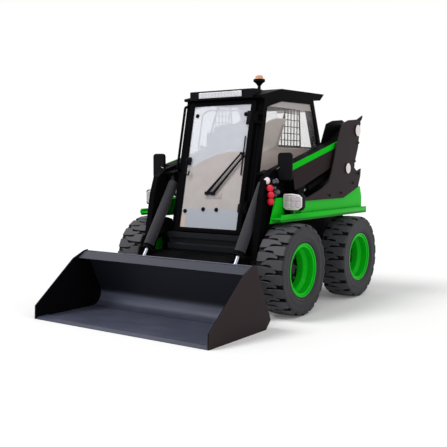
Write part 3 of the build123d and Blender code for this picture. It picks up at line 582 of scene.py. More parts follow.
def block(name, low, high, width=0.002, segments=2):
    """A box between two corners, with bevelled edges."""
    low, high = Vector(low), Vector(high)
    piece = primitive("cube", name, size=1, location=(low + high) / 2, scale=high - low)
    return bevel(piece, width, segments)


def plate(name, outline, depth, matrix=Matrix(), edge=0.0, segments=2):
    """An outline drawn in a frame's XY plane and extruded along its Z."""
    piece = primitive("circle", name, vertices=len(outline), fill_type="NGON")
    for vertex, point in zip(piece.data.vertices, outline):
        vertex.co = (*point, 0)
    with editing(piece):
        bpy.ops.mesh.extrude_region_move(TRANSFORM_OT_translate={"value": (0, 0, depth)})
        bpy.ops.mesh.select_all(action="SELECT")
        bpy.ops.mesh.normals_make_consistent(inside=False)
    if edge:
        bevel(piece, edge, segments)
    return moved(piece, matrix)


def stepped(piece, *steps):
    """Steps a plate's upper face in by each width and up by each rise, in turn."""
    with editing(piece, chosen=lambda face: face.normal.z > 0.9):
        for width, rise in steps:
            bpy.ops.mesh.inset(thickness=width)
            if rise:
                bpy.ops.mesh.extrude_region_move(TRANSFORM_OT_translate={"value": (0, 0, rise)})
    return piece


def lathe(name, section, matrix=Matrix(), steps=48):
    """A closed section of (radius, height) points, spun about a frame's Z."""
    piece = primitive("circle", name, vertices=len(section), fill_type="NOTHING")
    for vertex, (radius, height) in zip(piece.data.vertices, section):
        vertex.co = (radius, 0, height)
    with editing(piece, "EDGE"):
        bpy.ops.mesh.spin(steps=steps, angle=math.tau, center=(0, 0, 0), axis=(0, 0, 1))
        bpy.ops.mesh.select_all(action="SELECT")
        bpy.ops.mesh.remove_doubles(threshold=1e-5)
        bpy.ops.mesh.dissolve_degenerate(threshold=1e-6)
        bpy.ops.mesh.delete_loose()
        bpy.ops.mesh.select_all(action="SELECT")
        bpy.ops.mesh.normals_make_consistent(inside=False)
    return moved(piece, matrix)


def tube(name, points, radius, corner=0.02):
    """A bent tube through points, its corners rounded."""
    curve = bpy.data.curves.new(name, "CURVE")
    curve.dimensions = "3D"
    curve.bevel_depth = radius
    curve.bevel_resolution = 3
    curve.use_fill_caps = True
    spline = curve.splines.new("POLY")
    route = []
    for i, point in enumerate(map(Vector, points)):
        if 0 < i < len(points) - 1:
            before = (Vector(points[i - 1]) - point).normalized() * corner
            after = (Vector(points[i + 1]) - point).normalized() * corner
            for t in (0, 0.25, 0.5, 0.75, 1):
                route.append(point + before * (1 - t) ** 2 + after * t ** 2)
        else:
            route.append(point)
    spline.points.add(len(route) - 1)
    for knot, point in zip(spline.points, route):
        knot.co = (*point, 1)
    piece = bpy.data.objects.new(name, curve)
    bpy.context.scene.collection.objects.link(piece)
    activate(piece)
    bpy.ops.object.convert(target="MESH")
    piece = bpy.context.active_object
    piece.name = piece.data.name = name
    return smooth(piece, 60)


def at(*place):
    return Matrix.Translation(Vector(place))


def facing(hand):
    """Turns a frame's Z away from the machine's middle, to its left or right."""
    return SIDE if hand > 0 else SIDE @ Matrix.Rotation(math.pi, 4, "X")


def rounded(width, height, radius, steps=5):
    """Outline of a rounded rectangle about the origin."""
    outline = []
    for cx, cy, start in ((1, 1, 0), (-1, 1, 90), (-1, -1, 180), (1, -1, 270)):
        for i in range(steps + 1):
            angle = math.radians(start + 90 * i / steps)
            outline.append((cx * (width / 2 - radius) + radius * math.cos(angle),
                            cy * (height / 2 - radius) + radius * math.sin(angle)))
    return outline


def listed(table):
    """Turns a table of keys with lists of names round: each name with its key."""
    return {name: key for key, names in table.items() for name in names.split()}


finishes = {}


def dressed(piece, body, finish, *stands_for, name=None, slot=None):
    """Gives a piece its name, material and body, and the nodes that it stands for; slot is not used."""
    piece.name = name or piece.name
    piece.data.materials.clear()
    piece.data.materials.append(finishes[finish].material)
    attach(piece, body)
    if stands_for:
        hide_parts(*stands_for)
    return piece


def bolt(name, radius, height):
    """Hexagon bolt head on its washer, standing on a frame's XY plane."""
    rim, top = radius * 1.45, height * 0.2
    washer = lathe(name, [(0, 0), (rim, 0), (rim, top), (0, top)], steps=16)
    head = primitive(
        "cylinder", name, vertices=6, radius=radius, depth=height, location=(0, 0, height * 0.65))
    bevel(head, radius * 0.12, 1)
    return joined(name, [washer, head])


def scattered(name, master, places):
    """Copies of one master at each matrix, joined, and the master removed."""
    copies = [copied(master, matrix) for matrix in places]
    bpy.data.objects.remove(master)
    return joined(name, copies)


# ------------------------------------------------------------------------------ operators


class PieceOperator:
    bl_options = {"REGISTER", "UNDO"}


class LOADER_OT_finishes(PieceOperator, bpy.types.Operator):
    """Makes the finishes and gives them to the frame's own nodes"""
    bl_idname = "loader.finishes"
    bl_label = "Finishes"

    def execute(self, context):
        paint = context.scene.loader_paint
        finishes.update(
            green=enamel("green enamel", paint.green, **SATIN),
            frames=frame_paint("side frame enamel", paint),
            rims=rim_paint("rim enamel", paint),
            black=enamel("black enamel", paint.black, **MATT),
            # The front panel's black made lighter: painted light for its up-facing steps.
            ledges=enamel("ledge enamel", srgb("1C1D22"), rough=0.32, gloss=0.10, dust=0.06),
            grey=enamel("brown-grey enamel", paint.grey, rough=0.42, gloss=0.04),
            cheeks=cheek_paint("cheek enamel", paint),
            towers=tower_paint("tower enamel", paint),
            arms=arm_paint("arm enamel", paint),
            bucket=bucket_steel("bucket enamel", paint.bucket),
            rubber_front=rubber("front tyre rubber", paint.rubber, pins["spin_front_left"]),
            rubber_rear=rubber("rear tyre rubber", paint.rubber, pins["spin_rear_left"]),
            sleeve=woven("woven sleeve", paint.sleeve),
            chrome=polished("hard chrome", (0.26, 0.28, 0.32), 0.24),
            steel=polished("zinc-plated steel", (0.55, 0.55, 0.57), 0.28),
            plastic=moulded("black plastic", srgb("101014"), 0.5, 0.05),
            nuts=polished("dark steel", (0.10, 0.10, 0.12), 0.35),
            door_glass=pane("door glass", srgb("F2F5FF"), 0.46, srgb("C4BCBA"), 0.90, door_film,
                            ((door_foot, srgb("AEB6C4")), (door_corner, srgb("DCBFAA")))),
            # On the side glass the film is a painted reflection, and its paler foot and warmer rear corner
            # are painted light.
            side_glass=pane("side glass", srgb("EEE9E8"), 0.10, srgb("AFA39C"), 0.92, side_film_painted_reflection,
                            ((side_foot_painted_light, srgb("D2C4BE")), (side_rear_painted_light, srgb("E0BDBB"))), far_veil),
            lamp=lens("lamp lens", srgb("C9BBC6"), 0.06),
            bar=lens("light bar lens", srgb("DEDCE2"), 0.12),
            tail=lens("tail lens", srgb("B0141A"), 0.05),
            amber=lens("amber dome", paint.amber, 0.06),
            red=moulded("red dust cap", paint.red, 0.35),
            pink=moulded("pale dust cap", srgb("ECD9DC"), 0.35),
            vinyl=moulded("seat vinyl", srgb("5E5754"), 0.5),
            case=moulded("battery case", srgb("55565A"), 0.6),
            cover=moulded("pin cover", srgb("DDD7D6"), 0.4),
            backing=moulded("pale plate", srgb("A39A9C"), 0.4),
            tube=moulded("grey tube", srgb("6E7488"), 0.4),
        )
        by_node = listed({
            "frames": "side_frames", "towers": "towers", "arms": "boom_arms", "cheeks": "bucket_cheeks",
            "bucket": "bucket_shell cutting_edge", "ledges": "front_panel", "chrome": "lift_rods tilt_rods",
            "sleeve": "tilt_barrels", "side_glass": "cab_glass", "door_glass": "door_glass",
            "tail": "tail_lamps", "vinyl": "seat", "case": "battery_pack",
            "plastic": "seat_base consoles light_bar mirrors wiper door_handle headlamps beacon couplers",
            "rims": " ".join(f"rim_{wheel}" for wheel in WHEELS),
            "rubber_front": " ".join(f"tyre_{wheel}" for wheel in WHEELS),
        })
        for name, node in frame["nodes"].items():
            node.data.materials.clear()
            node.data.materials.append(finishes[by_node.get(name, "black")].material)
            smooth(node, 30)
        return {"FINISHED"}


class LOADER_OT_tyres(PieceOperator, bpy.types.Operator):
    """Lug tyres, with wheel nuts and hubs in the rims"""
    bl_idname = "loader.tyres"
    bl_label = "Tyres"

    def lug(self, depth):
        """A stepped lug, flat: X from its own shoulder inwards, Y round the tyre, Z out of it."""
        outline = [
            (0.0, -0.040), (0.030, -0.043), (0.098, -0.041), (0.140, -0.037), (0.172, -0.026),
            (0.200, -0.006), (0.194, 0.010), (0.160, 0.004), (0.118, 0.006), (0.104, 0.014),
            (0.094, 0.037), (0.030, 0.042), (0.0, 0.038),
        ]
        piece = plate("lug", outline, depth, edge=0.0032, segments=1)
        for cut in (0.012, 0.028, 0.045, 0.070, 0.125):
            with editing(piece):
                bpy.ops.mesh.bisect(plane_co=(cut, 0, 0), plane_no=(1, 0, 0))
        return piece

    def crown(self, radius, inset):
        """Height of the tread's top at a distance in from the shoulder."""
        shape = [
            (-0.001, 0.020), (0.003, 0.012), (0.012, 0.0045), (0.040, 0.0015), (0.128, 0.0), (0.300, 0.0),
        ]
        for (a, fall_a), (b, fall_b) in zip(shape, shape[1:]):
            if inset <= b:
                return radius - fall_a - (fall_b - fall_a) * (inset - a) / (b - a)
        return radius

    def execute(self, context):
        settings = context.scene.loader_tyres
        lug = self.lug(settings.depth)
        for wheel in WHEELS:
            low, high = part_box(f"tyre_{wheel}")
            hub = (low + high) / 2
            radius = (high.z - low.z) / 2
            half = (high.x - low.x) / 2
            hand = 1 if hub.x > 0 else -1
            floor = radius - settings.depth
            wall = [
                (floor, 0.0), (floor, 0.074), (floor - 0.002, 0.104), (floor - 0.003, half - 0.018),
                (radius - 0.0215, half - 0.010), (radius - 0.0225, half - 0.004), (0.356, half - 0.001),
                (0.340, half - 0.002), (0.330, half - 0.0015), (0.322, half - 0.004), (0.300, half - 0.0005),
                (0.270, half - 0.002), (0.262, half - 0.0055), (0.256, half - 0.002), (0.240, half - 0.007),
                (0.232, half - 0.014), (0.2275, half - 0.024), (0.2066, half - 0.024),
            ]
            section = wall + [(r, -a) for r, a in reversed(wall[1:])]
            pieces = [lathe("carcass", section, at(*hub) @ SIDE, steps=96)]
            pitch = math.tau / settings.lugs
            for i in range(settings.lugs):
                for shoulder, shift in ((1, 0.0), (-1, 0.5)):
                    copy = copied(lug, Matrix())
                    for vertex in copy.data.vertices:
                        inset, round_tyre, height = vertex.co
                        reach = self.crown(radius, min(inset, 2 * half - inset)) - settings.depth + height
                        angle = (i + shift) * pitch + LUG_TURN + round_tyre / radius
                        vertex.co = (
                            hub.x + hand * shoulder * (half - inset),
                            hub.y + reach * math.sin(angle),
                            hub.z - reach * math.cos(angle) * hand,
                        )
                    pieces.append(copy)
            tyre = smooth(joined(f"lug_tyre_{wheel}", pieces), 28)
            with editing(tyre):
                bpy.ops.mesh.normals_make_consistent(inside=False)
            dressed(tyre, f"wheel_{wheel}", f"rubber_{wheel.split('_')[0]}", f"tyre_{wheel}")
            self.hub(wheel, hub, hand)
        bpy.data.objects.remove(lug)
        return {"FINISHED"}

    def hub(self, wheel, centre, hand):
        """Dark hub flange, nuts and cap, deep in the dish."""
        outward = at(hand * (HUB_DISC_X + 0.0145), centre.y, centre.z) @ facing(hand)
        flange = lathe("hub_flange", [
            (0.085, 0.0), (0.166, 0.0), (0.166, 0.003), (0.150, 0.006), (0.096, 0.006), (0.085, 0.003),
        ], outward, steps=64)
        dressed(smooth(flange), f"wheel_{wheel}", "black", name=f"hub_flange_{wheel}")
        cap = lathe("hub_cap", [
            (0.0, 0.0385), (0.046, 0.0385), (0.050, 0.041), (0.050, 0.044), (0.045, 0.052), (0.036, 0.056),
            (0.0, 0.058),
        ], outward, steps=48)
        dressed(smooth(cap), f"wheel_{wheel}", "grey", name=f"hub_cap_{wheel}")
        places = [outward @ Matrix.Rotation(math.tau * i / 8, 4, "Z") @ at(0.124, 0, 0.006) for i in range(8)]
        nuts = scattered(f"wheel_nuts_{wheel}", bolt("nut", 0.0125, 0.014), places)
        dressed(smooth(nuts), f"wheel_{wheel}", "nuts")


class LOADER_OT_lamps(PieceOperator, bpy.types.Operator):
    """Headlamps, light bar and beacon"""
    bl_idname = "loader.lamps"
    bl_label = "Lamps"

    def execute(self, context):
        self.headlamps()
        self.light_bar()
        self.beacon()
        return {"FINISHED"}

    def headlamps(self):
        low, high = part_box("headlamps")
        face_high = 0.142
        centre_z = high.z - face_high / 2
        for side, hand in HANDS:
            front = at(hand * (high.x - 0.092), low.y, centre_z) @ FRONT
            outline = [
                (-0.090, -0.050), (-0.062, -0.068), (0.050, -0.068), (0.090, -0.040), (0.090, 0.040),
                (0.062, 0.062), (-0.010, 0.069), (-0.082, 0.066), (-0.090, 0.056),
            ]
            outline = [(hand * x, z) for x, z in outline][::hand]
            rim = stepped(plate("lamp_rim", outline, 0.010, edge=0.004), (0.009, -0.005))
            moved(rim, front @ at(0, 0, -0.006))
            dressed(smooth(rim), "chassis", "cover", name=f"headlamp_rim_{side}")
            glass = plate("lamp_glass", [(x * 0.88, z * 0.86) for x, z in outline], 0.003, edge=0.001)
            moved(glass, front @ at(0, 0, -0.001))
            dressed(smooth(glass), "chassis", "lamp", name=f"headlamp_glass_{side}")
            cell = plate("cell", rounded(0.042, 0.044, 0.010), 0.004, edge=0.0015)
            stepped(cell, (0.006, -0.0035), (0.007, 0.003))
            places = [front @ at(x * 0.048, z * 0.050, 0.001) for x in (-1, 0, 1) for z in (-0.5, 0.5)]
            cells = scattered(f"headlamp_cells_{side}", cell, places)
            dressed(smooth(cells), "chassis", "lamp")

    def light_bar(self):
        low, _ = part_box("light_bar")
        middle = 1.880
        cover = plate("light_bar_lens", rounded(0.460, 0.050, 0.005), 0.004, at(0, low.y, middle) @ FRONT,
                      edge=0.0015)
        moved(cover, at(0, 0.002, 0))
        dressed(smooth(cover), "chassis", "bar")
        cell = stepped(plate("cell", rounded(0.031, 0.040, 0.006), 0.003, edge=0.001), (0.004, -0.0022))
        places = [at((i - 6) * 0.0345, low.y - 0.0015, middle) @ FRONT for i in range(13)]
        cells = scattered("light_bar_cells", cell, places)
        dressed(smooth(cells), "chassis", "bar")

    def beacon(self):
        low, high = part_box("beacon")
        foot = at((low.x + high.x) / 2, (low.y + high.y) / 2, low.z)
        base = lathe("beacon_base", [
            (0, 0), (0.034, 0), (0.034, 0.005), (0.015, 0.009), (0.014, 0.040), (0.022, 0.052),
            (0.030, 0.062), (0.050, 0.078), (0.054, 0.082), (0.054, 0.098), (0.050, 0.102), (0.040, 0.103),
            (0, 0.103),
        ], foot)
        dressed(smooth(base), "chassis", "plastic", "beacon")
        ribs = [(0, 0.101), (0.040, 0.101), (0.040, 0.105)]
        for i in range(6):
            z = 0.106 + i * 0.004
            r = 0.0390 - 0.0008 * i
            ribs += [(r, z), (r - 0.0012, z + 0.002)]
        crown = [(0.031, 0.132), (0.024, 0.137), (0.014, 0.1392), (0, 0.1396)]
        dome = lathe("beacon_dome", ribs + crown, foot)
        dressed(smooth(dome, 50), "chassis", "amber")


class LOADER_OT_door(PieceOperator, bpy.types.Operator):
    """Trim of the front door: seal, wiper, handle, knobs and fasteners"""
    bl_idname = "loader.door"
    bl_label = "Door trim"

    def execute(self, context):
        up = door_up.z
        middle = (GLASS_LOW + GLASS_HIGH) / 2 / up
        height = (GLASS_HIGH - GLASS_LOW) / up
        seal = plate("door_seal", rounded(0.636, height + 0.006, 0.020), 0.004)
        with editing(seal, chosen=lambda face: abs(face.normal.z) > 0.9):
            bpy.ops.mesh.inset(thickness=0.014)
            bpy.ops.mesh.delete(type="FACE")
        with editing(seal, "EDGE", lambda edge: edge.is_boundary):
            bpy.ops.mesh.bridge_edge_loops()
        with editing(seal):
            bpy.ops.mesh.normals_make_consistent(inside=False)
        moved(seal, DOOR @ at(0, middle, 0.0025))
        dressed(bevel(seal, 0.0012), "door", "plastic")
        self.wiper(up)
        self.handle(up)
        knob = lathe("knob", [(0, 0), (0.019, 0), (0.019, 0.004), (0.014, 0.006), (0.014, 0.012),
                              (0.010, 0.015), (0, 0.0155)], steps=24)
        places = [
            DOOR @ at(x, z / up, 0.003)
            for x, z in ((-0.070, 0.867), (0.072, 0.867), (-0.268, 0.845), (-0.262, 1.700), (0.262, 1.700))
        ]
        knobs = scattered("glass_fasteners", knob, places)
        dressed(smooth(knobs), "door", "plastic")
        clamps = [
            moved(block("clamp", (x0, z0 / up, 0.0034), (x1, z1 / up, 0.020), 0.004, 3), DOOR)
            for x0, x1, z0, z1 in ((0.282, 0.326, 1.606, 1.724), (0.300, 0.334, 0.850, 0.924))
        ]
        dressed(smooth(joined("hinge_clamps", clamps)), "door", "plastic")
        backing = block("backing", (-0.062, 0.962 / up, 0.0032), (0.108, 1.014 / up, 0.0060), 0.0012)
        dressed(smooth(moved(backing, DOOR)), "door", "backing", name="wiper_backing")
        route = [(x, z / up, -0.030) for x, z in (
            (0.300, 1.738), (-0.170, 1.757), (-0.232, 1.726), (-0.236, 1.420), (-0.190, 1.318),
            (-0.200, 1.225))]
        inner = moved(tube("inner_tube", route, 0.007, 0.030), DOOR)
        dressed(inner, "door", "tube")
        return {"FINISHED"}

    def wiper(self, up):
        """Two parallel arms from the motor's cover to the upright blade."""
        parts = [moved(block("motor", (-0.066, -0.012, 0), (0.044, 0.014, 0.018), 0.006, 3),
                       at(0, 1.006 / up, 0.0060))]
        pairs = (((-0.046, 1.000), (0.270, 1.356)), ((0.022, 1.000), (0.298, 1.330)))
        for (x0, z0), (x1, z1) in pairs:
            a, b = Vector((x0, z0 / up)), Vector((x1, z1 / up))
            run = b - a
            reach, neck = run.length, run.length * 0.35
            arm = plate("arm", [(0, -0.014), (neck, -0.010), (reach, -0.007), (reach, 0.007), (neck, 0.010),
                                (0, 0.014)], 0.007, edge=0.002)
            turn = Matrix.Rotation(math.atan2(run.y, run.x), 4, "Z")
            parts.append(moved(arm, at(a.x, a.y, 0.017) @ turn))
            for end in (a, b):
                parts.append(lathe("boss", [(0, 0), (0.012, 0), (0.012, 0.010), (0.009, 0.013), (0, 0.0135)],
                                   at(end.x, end.y, 0.014), steps=20))
        blade = block("blade", (0.284, 1.168 / up, 0.0085), (0.292, 1.508 / up, 0.0165), 0.002)
        lip = block("lip", (0.2865, 1.166 / up, 0.0034), (0.2895, 1.510 / up, 0.0095), 0.0008)
        clip = block("clip", (0.276, 1.320 / up, 0.008), (0.300, 1.366 / up, 0.022), 0.003)
        wiper = joined("wiper_linkage", parts + [blade, lip, clip])
        moved(wiper, DOOR)
        dressed(smooth(wiper), "door", "plastic", "wiper")

    def handle(self, up):
        foot = plate("handle_plate", rounded(0.044, 0.070, 0.010), 0.020, at(-0.286, 1.290 / up, 0.0034),
                            edge=0.004, segments=3)
        hook = tube("hook", [
            (-0.298, 1.300 / up, 0.030), (-0.300, 1.176 / up, 0.030), (-0.284, 1.160 / up, 0.030),
            (-0.266, 1.162 / up, 0.030), (-0.258, 1.196 / up, 0.030),
        ], 0.0065, 0.010)
        boss = lathe("boss", [(0, 0), (0.015, 0), (0.015, 0.012), (0, 0.014)], at(-0.298, 1.300 / up, 0.020),
                     steps=24)
        handle = moved(joined("door_handle_hook", [foot, hook, boss]), DOOR)
        dressed(smooth(handle), "door", "plastic", "door_handle")


class LOADER_OT_arms(PieceOperator, bpy.types.Operator):
    """Mirrors, couplers, pin covers and cylinder fittings"""
    bl_idname = "loader.arms"
    bl_label = "Arms and towers"

    def execute(self, context):
        self.mirrors()
        self.couplers()
        self.tower_covers()
        self.cylinders()
        return {"FINISHED"}

    def mirrors(self):
        low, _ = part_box("mirrors")
        middle_x, middle_z = 0.681, 1.246
        for side, hand in HANDS:
            x = hand * middle_x
            shell = stepped(plate("mirror_shell", rounded(0.135, 0.235, 0.030, 6), 0.034), (0.014, 0))
            bevel(shell, 0.010, 4)
            moved(shell, at(x, low.y + 0.034, middle_z) @ FRONT)
            ribs = [
                moved(block("rib", (-0.040, -0.0015, 0), (0.040, 0.0015, 0.0015), 0.0006),
                      at(x, low.y, middle_z + (i - 4) * 0.011) @ FRONT @ at(0, 0, -0.0008))
                for i in range(9)
            ]
            body = joined(f"mirror_shell_{side}", [shell] + ribs)
            stands = ("mirrors",) if hand > 0 else ()
            dressed(smooth(body), "boom", "plastic", *stands)
            face = plate("mirror_face", rounded(0.119, 0.219, 0.024, 6), 0.0015,
                         at(x, low.y + 0.0355, middle_z) @ FRONT)
            dressed(face, "boom", "chrome", name=f"mirror_face_{side}")
            for part, finish, radius, route in (
                ("arm", "plastic", 0.011, (
                    (0.560, 0.016, 1.170), (0.564, 0.016, 1.196), (0.600, 0.020, 1.228),
                    (0.660, 0.022, 1.246),
                )),
                ("stay", "steel", 0.0025, (
                    (0.548, -0.002, 1.172), (0.552, -0.002, 1.190), (0.640, -0.006, 1.240),
                )),
            ):
                route = [(hand * a, low.y + b, c) for a, b, c in route]
                rod = tube(f"mirror_{part}", route, radius, 0.012)
                dressed(rod, "boom", finish, name=f"mirror_{part}_{side}")

    def couplers(self):
        low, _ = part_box("couplers")
        back = plate("coupler_block", [
            (-0.225, 0.920), (-0.260, 1.020), (-0.245, 1.150), (-0.195, 1.150), (-0.175, 0.920),
        ], 0.026, at(low.x, 0, 0) @ SIDE, edge=0.003)
        dressed(smooth(back), "boom", "plastic", "couplers")
        cap = lathe("cap", [
            (0, 0), (0.020, 0), (0.020, 0.010), (0.028, 0.012), (0.030, 0.016), (0.030, 0.026),
            (0.028, 0.030), (0.024, 0.032), (0.024, 0.038), (0.018, 0.041), (0, 0.042),
        ], steps=36)
        front_y = low.y + 0.066
        rows = ((0.958, 0.032), (1.013, 0.034), (1.067, 0.024))
        pale_row = (1.128, -0.004)
        bare_rows = ((1.125, 0.048), (1.035, 0.060))
        places = [at(low.x + dx, front_y, z) @ FRONT for z, dx in rows]
        pale = copied(cap, at(low.x + pale_row[1], front_y, pale_row[0]) @ FRONT)
        dressed(smooth(pale), "boom", "pink", name="pale_cap")
        caps = scattered("coupler_caps", cap, places)
        dressed(smooth(caps), "boom", "red")
        body = lathe("body", [
            (0, 0), (0.020, 0), (0.022, 0.004), (0.022, 0.014), (0.017, 0.018), (0.017, 0.050), (0, 0.050),
        ], steps=24)
        places = [at(low.x + dx, front_y + 0.050, z) @ FRONT for z, dx in (*rows, pale_row, *bare_rows)]
        bodies = scattered("coupler_bodies", body, places)
        dressed(smooth(bodies), "boom", "nuts")

    def tower_covers(self):
        _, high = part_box("towers")
        covers = []
        for _, hand in HANDS:
            for name, radius in (("boom_lift", 0.055), ("lift_barrel_swing", 0.049)):
                pin = pins[name]
                covers.append(lathe("cover", [
                    (0, 0), (radius, 0), (radius, 0.0015), (radius - 0.003, 0.003), (radius * 0.45, 0.003),
                    (radius * 0.40, 0.002), (0, 0.002),
                ], at(hand * high.x, pin.y, pin.z) @ facing(hand), steps=40))
        dressed(smooth(joined("pin_covers", covers)), "chassis", "cover")
        spots = ((0.62, 0.985), (0.86, 1.000), (1.12, 1.090), (1.245, 1.180), (1.16, 1.300), (1.235, 1.480))
        places = [at(hand * high.x, y, z) @ facing(hand) for _, hand in HANDS for y, z in spots]
        bolts = scattered("tower_bolts", bolt("head", 0.009, 0.006), places)
        dressed(smooth(bolts), "chassis", "black", slot="tower_paint")

    def cylinders(self):
        """Glands at the ends of the barrels."""
        for kind, (x, radius, rod, reach) in CYLINDERS.items():
            run = Vector(joints[f"{kind}_rod_slide"]["axis"])
            pin = pins[f"{kind}_barrel_swing"]
            bore, outer = rod + 0.0015, radius + 0.003
            glands = [
                lathe("gland", [
                    (bore, reach - 0.030), (outer, reach - 0.030), (outer, reach - 0.004),
                    (radius - 0.002, reach), (rod + 0.004, reach + 0.002), (bore, reach + 0.002),
                ], at(hand * x, pin.y, pin.z) @ run.to_track_quat("Z", "X").to_matrix().to_4x4(), steps=40)
                for _, hand in HANDS
            ]
            dressed(smooth(joined(f"{kind}_glands", glands)), f"{kind}_barrels", "black")


class LOADER_OT_body(PieceOperator, bpy.types.Operator):
    """Front posts, display and the fenders' rails and ribs"""
    bl_idname = "loader.body"
    bl_label = "Body trim"

    def execute(self, context):
        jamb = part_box("cab_sides")[1].x - 0.0305
        posts = []
        for _, hand in HANDS:
            x0, x1 = sorted((hand * 0.335, hand * jamb))
            post = block("post", (x0, 0.664 / door_up.z, -0.044), (x1, 1.806 / door_up.z, -0.019), 0.003)
            posts.append(moved(post, DOOR))
        dressed(smooth(joined("door_posts", posts)), "chassis", "black")
        display = block("display", (-0.075, -0.012, -0.085), (0.060, 0.012, 0.085), 0.010, 3)
        route = ((-0.030, 0.012, -0.060), (-0.090, 0.060, -0.100), (-0.112, 0.060, -0.100))
        bracket = tube("bracket", route, 0.009)
        display = moved(joined("display", [display, bracket]), at(-0.277, 0.225, 1.478))
        dressed(smooth(display), "chassis", "plastic")
        low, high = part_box("side_frames")
        wall = high.x - 0.100
        lip_top = low.z + 0.034
        pieces = []
        for _, hand in HANDS:
            x0, x1 = sorted((hand * (high.x - 0.007), hand * (high.x + 0.004)))
            pieces.append(block("rail", (x0, low.y + 0.004, lip_top - 0.002),
                                (x1, high.y - 0.004, lip_top + 0.028), 0.003))
            rib = [(wall - 0.001, lip_top), (high.x - 0.010, lip_top), (high.x - 0.010, lip_top + 0.008),
                   (wall - 0.001, lip_top + 0.118)]
            rib = [(hand * x, z) for x, z in rib]
            pieces += [plate("rib", rib, 0.012, at(0, y, 0) @ FRONT, edge=0.002) for y in (0.36, 1.02)]
        dressed(smooth(joined("fender_rails", pieces)), "chassis", "green")
        return {"FINISHED"}


class LOADER_OT_seat(PieceOperator, bpy.types.Operator):
    """Operator's seat: two crowned cushions on their shells"""
    bl_idname = "loader.seat"
    bl_label = "Seat"

    def cushion(self, name, low, high, matrix=Matrix()):
        """A padded block: its faces swell and its sides pull in between the corners."""
        low, high = Vector(low), Vector(high)
        centre, half, crown = (low + high) / 2, (high - low) / 2, 0.012
        piece = block(name, low, high, 0.022, 4)
        modify(piece, "REMESH", mode="VOXEL", voxel_size=0.012)
        for vertex in piece.data.vertices:
            u = [(vertex.co[i] - centre[i]) / half[i] for i in range(3)]
            swell = max(0.0, (1 - u[0] ** 2) * (1 - u[1] ** 2))
            channel = math.exp(-((abs(u[0]) - 0.55) * 18) ** 2) * 0.35
            if abs(u[2]) > 0.5:
                vertex.co.z += math.copysign(crown * (swell - channel), u[2])
        modify(piece, "SUBSURF", levels=1, render_levels=1)
        return smooth(moved(piece, matrix), 60)

    def execute(self, context):
        low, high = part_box("seat")
        base = self.cushion("seat_cushion", (-0.225, low.y + 0.012, low.z + 0.004),
                            (0.225, low.y + 0.440, low.z + 0.100))
        dressed(base, "chassis", "vinyl", "seat")
        reclined = at(0, high.y - 0.125, low.z + 0.120) @ Matrix.Rotation(math.radians(76), 4, "X")
        back = self.cushion("seat_backrest", (-0.215, 0.0, -0.045), (0.215, 0.300, 0.045), reclined)
        dressed(back, "chassis", "vinyl")
        return {"FINISHED"}


WORLD_LIGHT = 0.60      # strength of the world's light on the object
FLOOR_GLOW = 0.085      # what the floor adds where it is seen directly


def seen_directly(shading):
    """1 on the camera's own rays and on those that polished metal and glass send on, else 0."""
    rays = [shading.node("ShaderNodeLightPath", output=ray)
            for ray in ("Is Camera Ray", "Is Glossy Ray", "Is Transmission Ray")]
    return rays[0].maths("MAXIMUM", rays[1]).maths("MAXIMUM", rays[2])


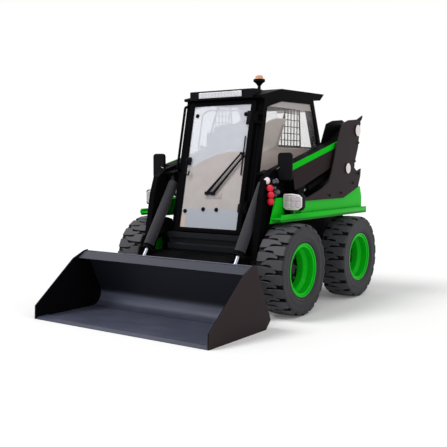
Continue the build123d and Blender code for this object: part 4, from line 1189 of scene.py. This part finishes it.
class LOADER_OT_stage(PieceOperator, bpy.types.Operator):
    """Pale floor, plain light and the camera"""
    bl_idname = "loader.stage"
    bl_label = "Stage"

    def execute(self, context):
        settings = context.scene.loader_stage
        self.floor()
        self.lights(context)
        data = bpy.data.cameras.new("camera")
        data.lens = settings.lens
        data.sensor_width = 36
        camera = bpy.data.objects.new("camera", data)
        context.scene.collection.objects.link(camera)
        camera.location = (CAMERA_X, CAMERA_Y, settings.height)
        look = Vector((
            -math.sin(settings.azimuth) * math.cos(settings.dip),
            math.cos(settings.azimuth) * math.cos(settings.dip),
            -math.sin(settings.dip),
        ))
        camera.rotation_mode = "QUATERNION"
        turn = look.to_track_quat("-Z", "Y")
        camera.rotation_quaternion = turn @ Matrix.Rotation(settings.roll, 3, "Z").to_quaternion()
        context.scene.camera = camera
        context.scene.view_settings.view_transform = "Standard"
        return {"FINISHED"}

    def floor(self):
        """White where the light falls freely; the object's shadow stays on it."""
        floor = primitive("plane", "floor", size=120, location=(0, 0, 0))
        finish = Finish("floor", Roughness=0.9, Specular_IOR_Level=0.0, Emission_Strength=1.0)
        tint = finish.noise(0.6, 2.0)
        finish.set(Base_Color=finish.mix(tint * 0.1, (0.90, 0.90, 0.90), (0.88, 0.88, 0.89)))
        finish.set(Emission_Color=finish.mix(seen_directly(finish), (0, 0, 0), (FLOOR_GLOW,) * 3))
        floor.data.materials.append(finish.material)

    def lights(self, context):
        world = bpy.data.worlds.new("world")
        context.scene.world = world
        world.use_nodes = True
        backdrop = Shading(world.node_tree)
        shade = world.node_tree.nodes["Background"]
        shade.inputs["Color"].default_value = (1, 1, 1, 1)
        backdrop.feed(shade.inputs["Strength"], seen_directly(backdrop) * (1 - WORLD_LIGHT) + WORLD_LIGHT)
        for name, toward, spread, strength, tint in (
            ("key", (-0.62, -0.72, 1.25), 24, 1.55, (1.0, 1.0, 1.0)),
            ("side", (1.0, -0.15, 0.75), 50, 0.45, (1.0, 0.98, 0.96)),
        ):
            data = bpy.data.lights.new(name, "SUN")
            data.angle = math.radians(spread)
            data.energy = strength
            data.color = tint
            lamp = bpy.data.objects.new(name, data)
            context.scene.collection.objects.link(lamp)
            lamp.rotation_mode = "QUATERNION"
            lamp.rotation_quaternion = (-Vector(toward)).to_track_quat("-Z", "Y")


class LOADER_PT_panel(bpy.types.Panel):
    """Sidebar panel with the loader's pieces"""
    bl_label = "Skid Steer Loader"
    bl_idname = "LOADER_PT_panel"
    bl_space_type = "VIEW_3D"
    bl_region_type = "UI"
    bl_category = "Loader"

    def draw(self, context):
        for operator in OPERATORS:
            self.layout.operator(operator.bl_idname)
        for group in (context.scene.loader_paint, context.scene.loader_tyres, context.scene.loader_stage):
            for name in group.__annotations__:
                self.layout.prop(group, name)


GROUPS = {"loader_paint": LoaderPaint, "loader_tyres": LoaderTyres, "loader_stage": LoaderStage}
OPERATORS = (
    LOADER_OT_finishes, LOADER_OT_tyres, LOADER_OT_lamps, LOADER_OT_door, LOADER_OT_arms, LOADER_OT_body,
    LOADER_OT_seat, LOADER_OT_stage,
)


def register():
    for group in GROUPS.values():
        bpy.utils.register_class(group)
    for operator in OPERATORS:
        bpy.utils.register_class(operator)
    bpy.utils.register_class(LOADER_PT_panel)
    for name, group in GROUPS.items():
        setattr(bpy.types.Scene, name, PointerProperty(type=group))


def unregister():
    for name in GROUPS:
        delattr(bpy.types.Scene, name)
    for kind in (LOADER_PT_panel, *reversed(OPERATORS), *GROUPS.values()):
        bpy.utils.unregister_class(kind)


def main():
    register()
    bpy.ops.loader.stage()
    bpy.ops.loader.finishes()
    bpy.ops.loader.tyres()
    bpy.ops.loader.lamps()
    bpy.ops.loader.door()
    bpy.ops.loader.arms()
    bpy.ops.loader.body()
    bpy.ops.loader.seat()


if __name__ == "__main__":
    main()
